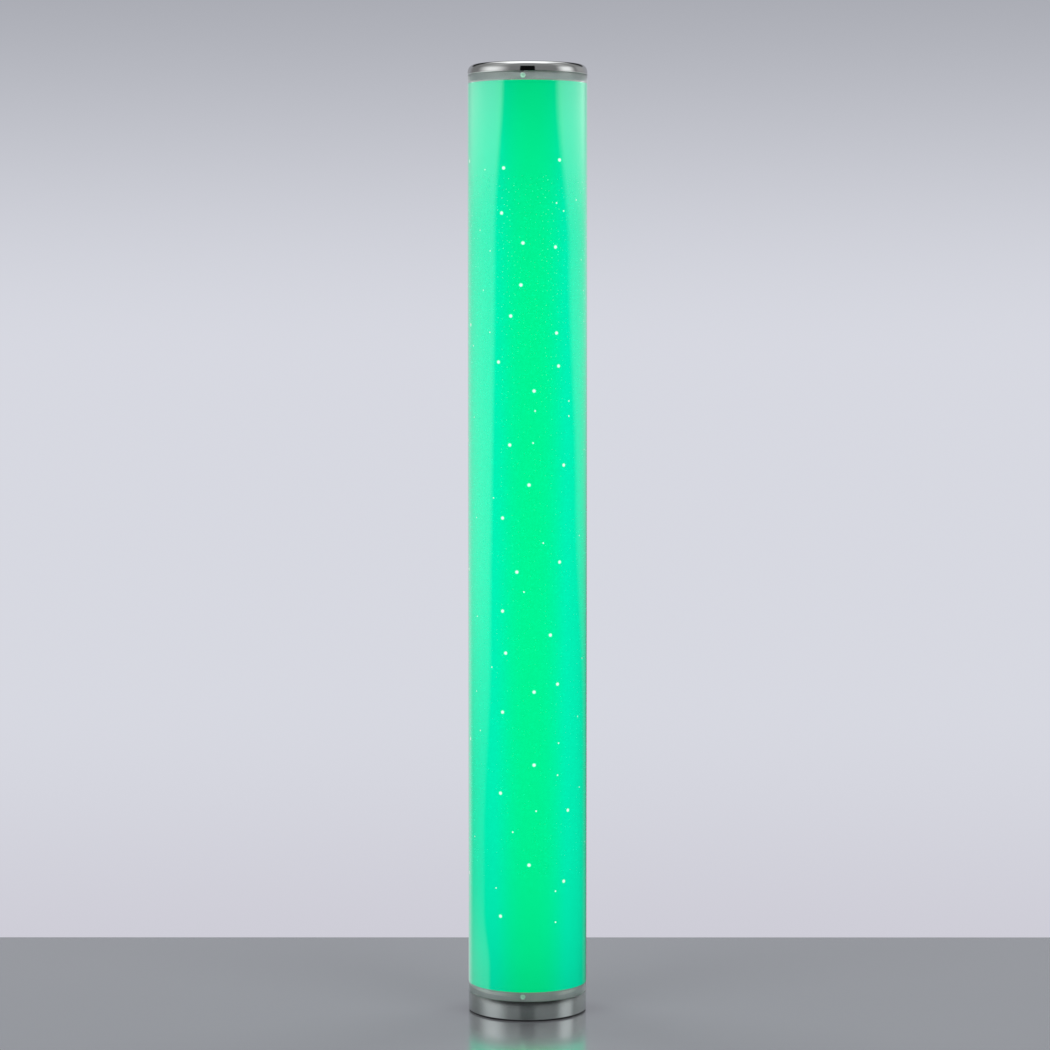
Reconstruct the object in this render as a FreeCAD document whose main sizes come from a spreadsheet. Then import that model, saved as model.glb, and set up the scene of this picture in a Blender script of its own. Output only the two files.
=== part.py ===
"""Starlight column floor lamp: a clear acrylic tube round a rolled star film, lit by a six-sided LED core.

The lamp stands on the XY plane with its axis on +Z and its front at -Y. All lengths are in millimetres
and all angles in degrees. Every driving dimension is a cell of the spreadsheet "sizes".

From the floor up: a foot ring, a bottom plate, a cast ballast disc inside a spun metal shell, a ribbed
collar that plugs into the tube, the tube with its film and core, a second collar, and a domed metal cap.
"""
import FreeCAD, Part
import Sketcher
import math
import os
import re

from FreeCAD import Placement, Rotation, Vector

doc = FreeCAD.newDocument("starlight_column")

# ------------------------------------------------------------------------------------- driving dimensions

SIZES = {
    # acrylic tube
    "tube_radius": 75, "tube_wall": 3, "tube_length": 1156,
    # foot, bottom plate and base shell
    "foot_setback": 1.4, "foot_width": 11, "foot_thick": 2,
    "plate_thick": 1.5, "plate_screw_offset": 14, "plate_screw_radius": 2, "plate_screw_length": 10,
    "shell_height": 23, "shell_wall": 1.2, "shell_rim": 14, "shell_bevel": 1,
    # ballast
    "ballast_bore_radius": 20, "cable_slot_width": 18, "cable_slot_depth": 16,
    # cable gland in the back of the base
    "gland_height": 10, "gland_bore_radius": 3.2, "gland_neck_radius": 5, "gland_flange_radius": 7,
    "gland_flange_thick": 1.6, "gland_tail_length": 5,
    "drive_slot_width": 0.9,
    # collars
    "seam_height": 1, "seam_recess": 1, "band_height": 10.5, "plug_wall": 3, "web_thick": 3,
    "web_hole_radius": 12, "rib_thick": 2, "rib_height": 5, "rib_count": 12,
    "boss_width": 11, "boss_depth": 6, "spigot_height": 9, "spigot_wall": 2.5, "lip_wall": 3,
    # bolts through collar, base and cap
    "bolt_gap": 3.75, "bolt_radius": 2.5, "bolt_head_radius": 4.25, "bolt_head_height": 5,
    "bolt_recess_depth": 7, "nut_flats": 8, "nut_height": 4, "washer_radius": 5, "washer_thick": 1,
    "thread_stand": 2,
    # screws through the tube
    "tube_screw_radius": 1.9, "tube_screw_head_radius": 3.2, "tube_screw_length": 6,
    # top cap
    "cap_height": 12, "cap_wall": 1.2, "cap_edge_round": 8, "stud_radius": 2, "cap_lip_height": 2.5,
    "pillar_radius": 6, "stud_nut_flats": 7, "stud_nut_height": 3.2,
    # star film
    "film_thick": 0.5, "film_gap_angle": 1, "tape_angle": 12, "tape_thick": 0.2,
    # LED core
    "core_flat_radius": 38, "core_wall": 1.5, "core_screw_radius": 1.5, "core_screw_head_radius": 2.8,
    "core_screw_head_height": 1.6, "core_screw_length": 7, "lead_slot_rise": 16,
    "strip_width": 10, "strip_thick": 0.4, "strip_start": 22, "strip_end": 22,
    "chip_side": 5, "chip_height": 1.6, "chip_rows": 33, "chip_margin": 22,
    "jumper_width": 5, "jumper_thick": 0.8, "jumper_bend": 2, "jumper_start": 3, "jumper_rise": 2,
    # chassis and electronics
    "chassis_back": 8, "chassis_thick": 1.5, "chassis_half_width": 28, "chassis_margin": 14,
    "chassis_foot_depth": 18, "chassis_foot_width": 14, "chassis_screw_radius": 1.5,
    "terminal_rise": 24, "terminal_height": 22, "terminal_half_width": 15, "terminal_depth": 16,
    "tower_side": 7, "tower_height": 2,
    "supply_gap": 16, "driver_height": 150, "driver_half_width": 20, "driver_depth": 26,
    "driver_round": 2, "ear_height": 9, "ear_thick": 2, "ear_half_width": 6,
    "supply_lead_radius": 1.2, "supply_lead_spread": 8, "lead_socket": 4,
    "output_gap": 24, "board_height": 70, "board_half_width": 18, "board_thick": 1.6,
    "standoff_height": 4, "standoff_radius": 2.8, "standoff_inset": 5,
    "socket_height": 9, "socket_depth": 9, "socket_half_width": 3, "feed_socket_rise": 31,
    "eye_socket_rise": 49, "input_half_width": 7, "processor_side": 10, "processor_thick": 1.8,
    "processor_rise": 17, "transistor_side": 6.5, "transistor_thick": 2.3, "transistor_pitch": 9,
    "capacitor_radius": 4, "capacitor_height": 9, "capacitor_pitch": 10, "capacitor_rise": 38,
    "component_offset": 11.5,
    "feed_lead_width": 6, "feed_lead_thick": 1.4, "feed_lead_end": 9, "lead_bend": 1.5, "lead_run": 25,
    "lead_offset": 4,
    "eye_radius": 2.5, "eye_board_height": 14, "eye_board_half_width": 6, "eye_board_thick": 1.2,
    "eye_lead_width": 4, "eye_lead_thick": 1.2, "eye_setback": 2,
    # clearances
    "plug_clearance": 0.25, "shell_clearance": 0.3, "film_clearance": 0.3, "core_clearance": 0.25,
    "tape_clearance": 0.05, "screw_clearance": 0.1, "bolt_clearance": 0.25, "gland_clearance": 0.1,
    "end_clearance": 0.3, "head_clearance": 0.2, "lead_clearance": 0.3, "jumper_clearance": 0.05,
}

sheet = doc.addObject("Spreadsheet::Sheet", "sizes")
for row, (alias, value) in enumerate(SIZES.items(), start=1):
    sheet.set(f"A{row}", alias)
    sheet.set(f"B{row}", str(value))
    sheet.setAlias(f"B{row}", alias)
doc.recompute()

# Derived places and sizes, as formulas of the driving dimensions.
TUBE_BORE = "(tube_radius - tube_wall)"
PLUG_RADIUS = f"({TUBE_BORE} - plug_clearance)"
PLUG_BORE = f"({PLUG_RADIUS} - plug_wall)"
PLUG_TOP = "(seam_height + band_height)"
BOLT_CIRCLE = f"({PLUG_BORE} - boss_depth - bolt_gap - washer_radius)"
SHELL_BORE = "(tube_radius - shell_wall)"
SHELL_MOUTH = "(tube_radius - shell_rim)"
FOOT_RADIUS = "(tube_radius - foot_setback)"
PLATE_SCREW_CIRCLE = f"({BOLT_CIRCLE} - plate_screw_offset)"
BASE_TOP = "(foot_thick + shell_height)"
TUBE_BOTTOM = f"({BASE_TOP} + seam_height)"
TUBE_TOP = f"({TUBE_BOTTOM} + tube_length)"
CAP_BOTTOM = f"({TUBE_TOP} + seam_height)"
CAP_BORE = "(tube_radius - cap_wall)"
BALLAST_BOTTOM = "(foot_thick + plate_thick)"
BALLAST_HEIGHT = "(shell_height - shell_wall - plate_thick)"
BALLAST_RADIUS = f"({SHELL_BORE} - shell_clearance)"
WEB_TOP = f"({BASE_TOP} + web_thick)"
SCREW_RISE = "(seam_height + band_height / 2)"
CORE_LENGTH = "(tube_length + 2 * seam_height - 2 * web_thick - end_clearance)"
CORE_BORE = "(core_flat_radius - core_wall)"
SPIGOT_RADIUS = f"({CORE_BORE} - core_clearance)"
SPIGOT_BORE = f"({SPIGOT_RADIUS} - spigot_wall)"
RIB_START = "(core_flat_radius / cos(30) + 2)"
FILM_RADIUS = f"({TUBE_BORE} - film_clearance)"
FILM_BORE = f"({FILM_RADIUS} - film_thick)"
STRIP_FACE = "(core_flat_radius + strip_thick)"
STRIP_BOTTOM = f"({WEB_TOP} + strip_start)"
CHASSIS_FACE = "(0 - chassis_back)"
BOARD_BACK = f"({CHASSIS_FACE} + standoff_height)"
BOARD_FACE = f"({BOARD_BACK} + board_thick)"
TERMINAL_BOTTOM = f"({WEB_TOP} + terminal_rise)"
TERMINAL_TOP = f"({TERMINAL_BOTTOM} + terminal_height)"
DRIVER_BOTTOM = f"({TERMINAL_TOP} + supply_gap)"
DRIVER_TOP = f"({DRIVER_BOTTOM} + driver_height)"
BOARD_BOTTOM = f"({DRIVER_TOP} + output_gap)"
CHASSIS_TOP = f"({BOARD_BOTTOM} + board_height + chassis_margin)"
LEAD_SLOT_HEIGHT = f"({WEB_TOP} + lead_slot_rise)"
SOCKET_FACE = f"({BOARD_FACE} + socket_depth)"
CHASSIS_SCREW_SPREAD = "(chassis_half_width - chassis_foot_width / 2)"
EYE_FACE = f"({PLUG_BORE} - eye_setback)"

FRONT, REAR = -90, 90          # the direction in which a piece's own +X axis points
SCREW_COUNT = 3                # tube screws, base bolts and cap studs each stand in threes
CORE_SIDES = 6
TRANSISTOR_COUNT = 4
CAPACITOR_COUNT = 2


def number(formula):
    """The value of a formula of the driving dimensions."""
    return float(sheet.evalExpression(str(formula)))


def bound(formula):
    """The formula with each dimension's name pointed at the spreadsheet."""
    def point(match):
        return f"sizes.{match.group()}" if match.group() in SIZES else match.group()
    return re.sub(r"[a-z_]+", point, str(formula))


def bind(target, path, formula):
    """Ties one property of an object to a formula of the driving dimensions."""
    target.setExpression(path, bound(formula))


# ------------------------------------------------------------------------------------------ sketch helpers

def new_body(label, rise="0", facing=0):
    """A body whose own origin lies at height rise and whose own +X axis points to facing degrees."""
    body = doc.addObject("PartDesign::Body", label)
    body.Label = label
    body.AllowCompound = True
    body.Placement = Placement(Vector(0, 0, number(rise)), Rotation(Vector(0, 0, 1), facing))
    bind(body, "Placement.Base.z", rise)
    return body


def origin_part(body, role):
    """One of the body's own origin planes or axes."""
    return next(item for item in body.Origin.OriginFeatures if item.Role == role)


def new_sketch(body, plane, offset=None):
    """An empty sketch on one of the body's origin planes, moved along the plane's normal by offset."""
    sketch = body.newObject("Sketcher::SketchObject", f"{body.Name}_sketch")
    sketch.AttachmentSupport = [(origin_part(body, plane), "")]
    sketch.MapMode = "FlatFace"
    if offset is not None:
        sketch.AttachmentOffset = Placement(Vector(0, 0, number(offset)), Rotation())
        bind(sketch, "AttachmentOffset.Base.z", offset)
    return sketch


def hold(sketch, kind, geometry, point, formula):
    """Holds one coordinate of a sketch point at a formula, or on the axis where the formula is 0."""
    if str(formula) == "0":
        axis = -2 if kind == "DistanceX" else -1
        sketch.addConstraint(Sketcher.Constraint("PointOnObject", geometry, point, axis))
        return
    index = sketch.addConstraint(Sketcher.Constraint(kind, -1, 1, geometry, point, number(formula)))
    bind(sketch, f"Constraints[{index}]", formula)


def outline(sketch, corners):
    """A closed outline of straight lines through corners, each a pair of formulas."""
    points = [Vector(number(across), number(up), 0) for across, up in corners]
    first = sketch.GeometryCount
    count = len(corners)
    for index in range(count):
        sketch.addGeometry(Part.LineSegment(points[index], points[(index + 1) % count]))
    for index in range(count):
        follower = first + (index + 1) % count
        sketch.addConstraint(Sketcher.Constraint("Coincident", first + index, 2, follower, 1))
    for index, (across, up) in enumerate(corners):
        hold(sketch, "DistanceX", first + index, 1, across)
        hold(sketch, "DistanceY", first + index, 1, up)


def circle(sketch, across, up, radius):
    """A circle about a point, all three as formulas."""
    centre = Vector(number(across), number(up), 0)
    index = sketch.addGeometry(Part.Circle(centre, Vector(0, 0, 1), number(radius)))
    hold(sketch, "DistanceX", index, 3, across)
    hold(sketch, "DistanceY", index, 3, up)
    size = sketch.addConstraint(Sketcher.Constraint("Radius", index, number(radius)))
    bind(sketch, f"Constraints[{size}]", radius)


def rectangle(sketch, left, right, low, high):
    """An upright rectangle between four formulas."""
    outline(sketch, [(left, low), (right, low), (right, high), (left, high)])


def hexagon(sketch, flat_radius, across="0"):
    """A hexagon about (across, 0) with one flat across +X, flat_radius from its centre."""
    corner = f"{flat_radius} / cos(30)"
    side = f"{corner} / 2"
    right, left = f"{across} + {flat_radius}", f"{across} - {flat_radius}"
    outline(sketch, [
        (right, side), (across, corner), (left, side),
        (left, f"0 - {side}"), (across, f"0 - {corner}"), (right, f"0 - {side}"),
    ])


# ----------------------------------------------------------------------------------------- feature helpers

def turned(body, kind, sketch, axis, angle="360"):
    """A Revolution or Groove of the sketch about its own axis H_Axis or V_Axis."""
    feature = body.newObject(f"PartDesign::{kind}", f"{body.Name}_{kind.lower()}")
    feature.Profile = sketch
    feature.ReferenceAxis = (sketch, [axis])
    bind(feature, "Angle", angle)
    return feature


def ring(label, corners, rise="0", facing=0):
    """A body turned about its own vertical axis from an outline of (radius, height) corners."""
    body = new_body(label, rise, facing)
    sketch = new_sketch(body, "XZ_Plane")
    outline(sketch, corners)
    turned(body, "Revolution", sketch, "V_Axis")
    doc.recompute()
    return body


def pad(body, sketch, length, downwards=False):
    """A pad of the sketch, along its plane's normal or against it."""
    feature = body.newObject("PartDesign::Pad", f"{body.Name}_pad")
    feature.Profile = sketch
    bind(feature, "Length", length)
    feature.Reversed = downwards
    return feature


def pocket(body, sketch, depth=None, along_normal=False):
    """A pocket of the sketch, against its plane's normal or along it, through all if depth is None."""
    feature = body.newObject("PartDesign::Pocket", f"{body.Name}_pocket")
    feature.Profile = sketch
    feature.Reversed = along_normal
    if depth is None:
        feature.Type = "ThroughAll"
    else:
        bind(feature, "Length", depth)
    return feature


def repeated(body, features, count, about="Z_Axis"):
    """The features repeated evenly round one of the body's axes."""
    doc.recompute()
    pattern = body.newObject("PartDesign::PolarPattern", f"{body.Name}_pattern")
    pattern.Originals = features
    pattern.Axis = (origin_part(body, about), [""])
    pattern.Angle = 360
    if isinstance(count, str):
        bind(pattern, "Occurrences", count)
    else:
        pattern.Occurrences = count
    body.Tip = pattern
    doc.recompute()
    return pattern


def rounded_edges(body, chosen, radius):
    """A fillet on the edges of the body's shape for which chosen(edge) holds."""
    doc.recompute()
    base = body.Tip
    names = [f"Edge{index}" for index, edge in enumerate(base.Shape.Edges, start=1) if chosen(edge)]
    fillet = body.newObject("PartDesign::Fillet", f"{body.Name}_fillet")
    fillet.Base = (base, names)
    bind(fillet, "Radius", radius)
    doc.recompute()
    return fillet


def is_circle_at(edge, radius, height):
    """Whether an edge is a circle about the body's vertical axis, of that radius and at that height."""
    if not isinstance(edge.Curve, Part.Circle):
        return False
    middle = edge.Curve.Center
    on_axis = math.hypot(middle.x, middle.y) < 0.01
    return on_axis and abs(edge.Curve.Radius - radius) < 0.01 and abs(middle.z - height) < 0.01


# ------------------------------------------------------------------------------------ primitives in place

def box(name, low, high):
    """A Part box between two corners, each three formulas, in the front-facing frame."""
    item = doc.addObject("Part::Box", name)
    for side, start, end in zip(("Length", "Width", "Height"), low, high):
        bind(item, side, f"{end} - ({start})")
    for axis, start in zip("xyz", low):
        bind(item, f"Placement.Base.{axis}", start)
    return item


def upright(name, across, deep, low, radius, height):
    """A vertical Part cylinder standing at (across, deep, low)."""
    item = doc.addObject("Part::Cylinder", name)
    bind(item, "Radius", radius)
    bind(item, "Height", height)
    for axis, formula in zip("xyz", (across, deep, low)):
        bind(item, f"Placement.Base.{axis}", formula)
    return item


def level(name, start, deep, height, radius, length):
    """A Part cylinder lying along +X from (start, deep, height)."""
    item = doc.addObject("Part::Cylinder", name)
    item.Placement = Placement(Vector(0, 0, 0), Rotation(Vector(0, 1, 0), 90))
    bind(item, "Radius", radius)
    bind(item, "Height", length)
    for axis, formula in zip("xyz", (start, deep, height)):
        bind(item, f"Placement.Base.{axis}", formula)
    return item


def joined(name, items):
    """One Part fusion of several items."""
    fusion = doc.addObject("Part::MultiFuse", name)
    fusion.Shapes = items
    return fusion


def cut(name, base, tool):
    """The base item less the tool item."""
    result = doc.addObject("Part::Cut", name)
    result.Base = base
    result.Tool = tool
    return result


def turned_to_front(item, label):
    """Turns a finished item so that its +X side faces the lamp's front, and gives it its label."""
    item.Label = label
    turn = Placement(Vector(0, 0, 0), Rotation(Vector(0, 0, 1), FRONT))
    item.Placement = turn.multiply(item.Placement)
    return item


def made_shape(label, shape):
    """A part whose shape is made by functions, turned to face the lamp's front."""
    item = doc.addObject("Part::Feature", label)
    item.Shape = shape
    return turned_to_front(item, label)


def ribbon_side(points, bend, shift):
    """The edges of a run through points with rounded corners, shifted to its left by shift."""
    edges, start = [], None
    for before, corner, after in zip(points, points[1:], points[2:]):
        into, out = (corner - before).normalize(), (after - corner).normalize()
        left = 1 if into.cross(out).z > 0 else -1
        turn = into.getAngle(out)
        centre = corner + (out - into).normalize() * (bend / math.cos(turn / 2))
        radius = bend - left * shift
        begin = centre - Vector(-into.y, into.x, 0) * (left * radius)
        end = centre - Vector(-out.y, out.x, 0) * (left * radius)
        middle = centre - (out - into).normalize() * radius
        if start is None:
            start = before + Vector(-into.y, into.x, 0) * shift
        edges.append(Part.LineSegment(start, begin).toShape())
        edges.append(Part.Arc(begin, middle, end).toShape())
        start = end
    last = (points[-1] - points[-2]).normalize()
    edges.append(Part.LineSegment(start, points[-1] + Vector(-last.y, last.x, 0) * shift).toShape())
    return edges


def ribbon(points, bend, width, thick):
    """A flat lead that bends across its thickness along points of the XY plane, width high about it."""
    left, right = ribbon_side(points, bend, thick / 2), ribbon_side(points, bend, -thick / 2)
    caps = [Part.LineSegment(left[at].Vertexes[end].Point, right[at].Vertexes[end].Point).toShape()
            for at, end in ((0, 0), (-1, -1))]
    outline_wire = Part.Wire(Part.__sortEdges__(left + right + caps))
    strip = Part.Face(outline_wire).extrude(Vector(0, 0, width))
    strip.translate(Vector(0, 0, -width / 2))
    return strip


def upright_ribbon(points, bend, width, thick, deep):
    """A flat lead along (across, height) points, in the upright plane that lies deep along Y."""
    strip = ribbon([Vector(across, height, 0) for across, height in points], bend, width, thick)
    strip.rotate(Vector(0, 0, 0), Vector(1, 0, 0), 90)
    strip.translate(Vector(0, deep, 0))
    return strip


# ------------------------------------------------------------------------------------------------ the base

def make_foot_ring():
    """Foam ring that the lamp stands on."""
    inner = f"{FOOT_RADIUS} - foot_width"
    return ring("foot_ring", [
        (inner, "0"), (FOOT_RADIUS, "0"), (FOOT_RADIUS, "foot_thick"), (inner, "foot_thick"),
    ])


def make_bottom_plate():
    """Steel disc that closes the base, with three countersunk holes."""
    body = ring("bottom_plate", [
        ("0", "0"), (BALLAST_RADIUS, "0"), (BALLAST_RADIUS, "plate_thick"), ("0", "plate_thick"),
    ], "foot_thick", FRONT)
    hole = plate_screw_outline(body, "screw_clearance", "plate_thick")
    repeated(body, [hole], SCREW_COUNT)
    return body


def plate_screw_outline(body, gap, length, kind="Groove"):
    """A countersunk screw form, grown by gap, turned about its own vertical axis on the screw circle."""
    sketch = new_sketch(body, "XZ_Plane")
    shank = f"{PLATE_SCREW_CIRCLE} + plate_screw_radius + {gap}"
    head = f"{PLATE_SCREW_CIRCLE} + 2 * plate_screw_radius + {gap}"
    outline(sketch, [
        (PLATE_SCREW_CIRCLE, "0"), (head, "0"), (shank, "0.75 * plate_thick"), (shank, length),
        (PLATE_SCREW_CIRCLE, length),
    ])
    middle = number(PLATE_SCREW_CIRCLE)
    axis = sketch.addGeometry(Part.LineSegment(Vector(middle, 0, 0), Vector(middle, 1, 0)), True)
    sketch.addConstraint(Sketcher.Constraint("Coincident", axis, 1, 0, 1))
    sketch.addConstraint(Sketcher.Constraint("Vertical", axis))
    sketch.addConstraint(Sketcher.Constraint("DistanceY", axis, 1, axis, 2, 1))
    return turned(body, kind, sketch, "Axis0")


def make_plate_screws():
    """Three countersunk screws that hold the bottom plate to the ballast."""
    body = new_body("bottom_plate_screws", "foot_thick", FRONT)
    screw = plate_screw_outline(body, "0", "plate_screw_length", "Revolution")
    slot = new_sketch(body, "XY_Plane")
    rectangle(slot, f"{PLATE_SCREW_CIRCLE} - plate_screw_radius",
              f"{PLATE_SCREW_CIRCLE} + plate_screw_radius",
              "0 - drive_slot_width / 2", "drive_slot_width / 2")
    drive = pocket(body, slot, "0.5 * plate_thick", along_normal=True)
    repeated(body, [screw, drive], SCREW_COUNT)
    return body


def make_base_shell():
    """Spun metal shell of the base, with its bevelled top edge and the hole for the cable gland."""
    body = ring("base_shell", [
        (SHELL_BORE, "0"), ("tube_radius", "0"), ("tube_radius", "shell_height - shell_bevel"),
        ("tube_radius - shell_bevel", "shell_height"), (SHELL_MOUTH, "shell_height"),
        (SHELL_MOUTH, "shell_height - shell_wall"), (SHELL_BORE, "shell_height - shell_wall"),
    ], "foot_thick", REAR)
    sketch = new_sketch(body, "YZ_Plane")
    circle(sketch, "0", "gland_height", "gland_neck_radius + gland_clearance")
    pocket(body, sketch, "tube_radius + 1", along_normal=True)
    doc.recompute()
    return body


def make_ballast():
    """Cast disc with a cable slot to the back, bolt holes sunk from below and tapped plate-screw holes."""
    body = ring("ballast_weight", [
        ("ballast_bore_radius", "0"), (BALLAST_RADIUS, "0"),
        (BALLAST_RADIUS, BALLAST_HEIGHT), ("ballast_bore_radius", BALLAST_HEIGHT),
    ], BALLAST_BOTTOM, FRONT)
    slot = new_sketch(body, "XY_Plane")
    rectangle(slot, "0 - tube_radius", "0", "0 - cable_slot_width / 2", "cable_slot_width / 2")
    pocket(body, slot, "cable_slot_depth", along_normal=True)
    clearance = new_sketch(body, "XY_Plane")
    circle(clearance, BOLT_CIRCLE, "0", "bolt_radius + bolt_clearance")
    shank = pocket(body, clearance, along_normal=True)
    recess = new_sketch(body, "XY_Plane")
    circle(recess, BOLT_CIRCLE, "0", "bolt_head_radius + bolt_clearance")
    head = pocket(body, recess, "bolt_recess_depth", along_normal=True)
    repeated(body, [shank, head], SCREW_COUNT)
    thread = new_sketch(body, "XY_Plane")
    circle(thread, PLATE_SCREW_CIRCLE, "0", "plate_screw_radius + screw_clearance")
    tapped = pocket(body, thread, "plate_screw_length - plate_thick + 1", along_normal=True)
    repeated(body, [tapped], SCREW_COUNT)
    return body


def make_base_bolts():
    """Three socket-head bolts that clamp ballast, shell and lower collar together."""
    head_bottom = f"({BALLAST_BOTTOM} + bolt_recess_depth - bolt_head_height)"
    length = (f"{WEB_TOP} + washer_thick + nut_height + thread_stand - {head_bottom}"
              " - bolt_head_height")
    body = new_body("base_bolts", head_bottom, FRONT)
    head_sketch = new_sketch(body, "XY_Plane")
    circle(head_sketch, BOLT_CIRCLE, "0", "bolt_head_radius")
    head = pad(body, head_sketch, "bolt_head_height")
    shank_sketch = new_sketch(body, "XY_Plane", "bolt_head_height")
    circle(shank_sketch, BOLT_CIRCLE, "0", "bolt_radius")
    shank = pad(body, shank_sketch, length)
    socket_sketch = new_sketch(body, "XY_Plane")
    hexagon(socket_sketch, "0.85 * bolt_radius", BOLT_CIRCLE)
    socket = pocket(body, socket_sketch, "0.6 * bolt_head_height", along_normal=True)
    repeated(body, [head, shank, socket], SCREW_COUNT)
    return body


def make_nuts(label, rise, flats, height, bore, washer=None):
    """Three hexagon nuts on the bolt circle, each on a washer where washer gives its radius."""
    body = new_body(label, rise, FRONT)
    start = "0" if washer is None else "washer_thick"
    features = []
    if washer is not None:
        disc = new_sketch(body, "XY_Plane")
        circle(disc, BOLT_CIRCLE, "0", washer)
        circle(disc, BOLT_CIRCLE, "0", bore)
        features.append(pad(body, disc, "washer_thick"))
    nut = new_sketch(body, "XY_Plane", start)
    hexagon(nut, f"({flats} / 2)", BOLT_CIRCLE)
    circle(nut, BOLT_CIRCLE, "0", bore)
    features.append(pad(body, nut, height))
    repeated(body, features, SCREW_COUNT)
    return body


def make_cable_gland():
    """Rubber grommet in the back of the base: an outer flange, a neck through the shell and a tail."""
    body = new_body("cable_gland", "foot_thick + gland_height", REAR)
    face = "(tube_radius + 0.2)"
    back = f"({SHELL_BORE} - 0.6)"
    sketch = new_sketch(body, "XZ_Plane")
    outline(sketch, [
        (f"{back} - gland_tail_length", "gland_bore_radius"),
        (f"{face} + gland_flange_thick", "gland_bore_radius"),
        (f"{face} + gland_flange_thick", "gland_flange_radius - 1"),
        (f"{face} + gland_flange_thick / 2", "gland_flange_radius"),
        (face, "gland_flange_radius"),
        (face, "gland_neck_radius"),
        (back, "gland_neck_radius"),
        (back, "gland_neck_radius + 1.2"),
        (f"{back} - gland_tail_length", "gland_neck_radius - 0.6"),
    ])
    turned(body, "Revolution", sketch, "H_Axis")
    doc.recompute()
    return body


# --------------------------------------------------------------------------------------------- the collars

def make_collar(label, rise, lip_radius, lip_height):
    """A moulded collar that plugs into one end of the tube.

    Its plug ring shows as the grey band through the clear end of the tube. A flat web with radial ribs
    carries a six-sided spigot for the core and three bosses for the tube screws. A lip on the far side
    of the web centres the shell or the cap.
    """
    body = ring(label, [
        ("web_hole_radius", "0"), ("tube_radius - seam_recess", "0"),
        ("tube_radius - seam_recess", "seam_height"), (PLUG_RADIUS, "seam_height"),
        (PLUG_RADIUS, PLUG_TOP), (PLUG_BORE, PLUG_TOP), (PLUG_BORE, "web_thick"),
        ("web_hole_radius", "web_thick"),
    ], rise, FRONT)
    lip = new_sketch(body, "XY_Plane")
    circle(lip, "0", "0", lip_radius)
    circle(lip, "0", "0", f"{lip_radius} - lip_wall")
    pad(body, lip, lip_height, downwards=True)
    spigot = new_sketch(body, "XY_Plane", "web_thick")
    hexagon(spigot, SPIGOT_RADIUS)
    hexagon(spigot, SPIGOT_BORE)
    pad(body, spigot, "spigot_height")
    add_bosses_and_ribs(body)
    return body


def drill_web(body, fastener_radius):
    """Three clearance holes on the bolt circle, through all that stands there."""
    sketch = new_sketch(body, "XY_Plane", "web_thick")
    circle(sketch, BOLT_CIRCLE, "0", f"{fastener_radius} + bolt_clearance")
    hole = pocket(body, sketch)
    repeated(body, [hole], SCREW_COUNT)


def add_bosses_and_ribs(body):
    """Radial ribs from spigot to plug ring, and a drilled boss behind each tube screw."""
    rib_sketch = new_sketch(body, "XY_Plane", "web_thick")
    middle = "(360 / rib_count / 2)"
    start, end, half = RIB_START, f"({PLUG_BORE} + plug_wall / 2)", "(rib_thick / 2)"
    corners = [(start, f"0 - {half}"), (end, f"0 - {half}"), (end, half), (start, half)]
    outline(rib_sketch, [
        (f"{along} * cos({middle}) - ({side}) * sin({middle})",
         f"{along} * sin({middle}) + ({side}) * cos({middle})") for along, side in corners
    ])
    rib = pad(body, rib_sketch, "rib_height")
    repeated(body, [rib], "rib_count")
    boss_sketch = new_sketch(body, "XY_Plane", "web_thick")
    rectangle(boss_sketch, f"{PLUG_BORE} - boss_depth", f"{PLUG_BORE} + plug_wall / 2",
              "0 - boss_width / 2", "boss_width / 2")
    boss = pad(body, boss_sketch, f"{PLUG_TOP} - web_thick")
    drill_sketch = new_sketch(body, "YZ_Plane", f"{PLUG_BORE} - boss_depth - 1")
    circle(drill_sketch, "0", SCREW_RISE, "tube_screw_radius + screw_clearance")
    drill = pocket(body, drill_sketch, "boss_depth + plug_wall + 3", along_normal=True)
    repeated(body, [boss, drill], SCREW_COUNT)


def add_cap_pillars(body):
    """Three pillars on the far side of the web, on which the cap's top rests round its studs."""
    sketch = new_sketch(body, "XY_Plane")
    circle(sketch, BOLT_CIRCLE, "0", "pillar_radius")
    pillar = pad(body, sketch, "cap_height - cap_wall", downwards=True)
    repeated(body, [pillar], SCREW_COUNT)


def make_lower_collar():
    """Collar between base and tube: centred in the shell's mouth, drilled for core, chassis and bolts."""
    body = make_collar("lower_collar", BASE_TOP, f"({SHELL_MOUTH} - shell_clearance)",
                       "shell_wall - 0.2")
    core_holes = new_sketch(body, "YZ_Plane")
    circle(core_holes, "0", "web_thick + spigot_height / 2", "core_screw_radius")
    tapped = pocket(body, core_holes, "core_flat_radius", along_normal=True)
    repeated(body, [tapped], 2)
    chassis_holes = new_sketch(body, "XY_Plane", "web_thick")
    for side in ("", "0 - "):
        circle(chassis_holes, "0", f"{side}{CHASSIS_SCREW_SPREAD}", "chassis_screw_radius")
    pocket(body, chassis_holes)
    drill_web(body, "bolt_radius")
    return body


def make_upper_collar():
    """The same collar turned over at the top of the tube, centred in the cap, with pillars for its studs."""
    body = make_collar("upper_collar", CAP_BOTTOM, f"({CAP_BORE} - shell_clearance)",
                       "cap_lip_height")
    add_cap_pillars(body)
    drill_web(body, "stud_radius")
    turned_over = Rotation(Vector(0, 0, 1), FRONT).multiply(Rotation(Vector(1, 0, 0), 180))
    body.Placement = Placement(Vector(0, 0, number(CAP_BOTTOM)), turned_over)
    return body


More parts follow.
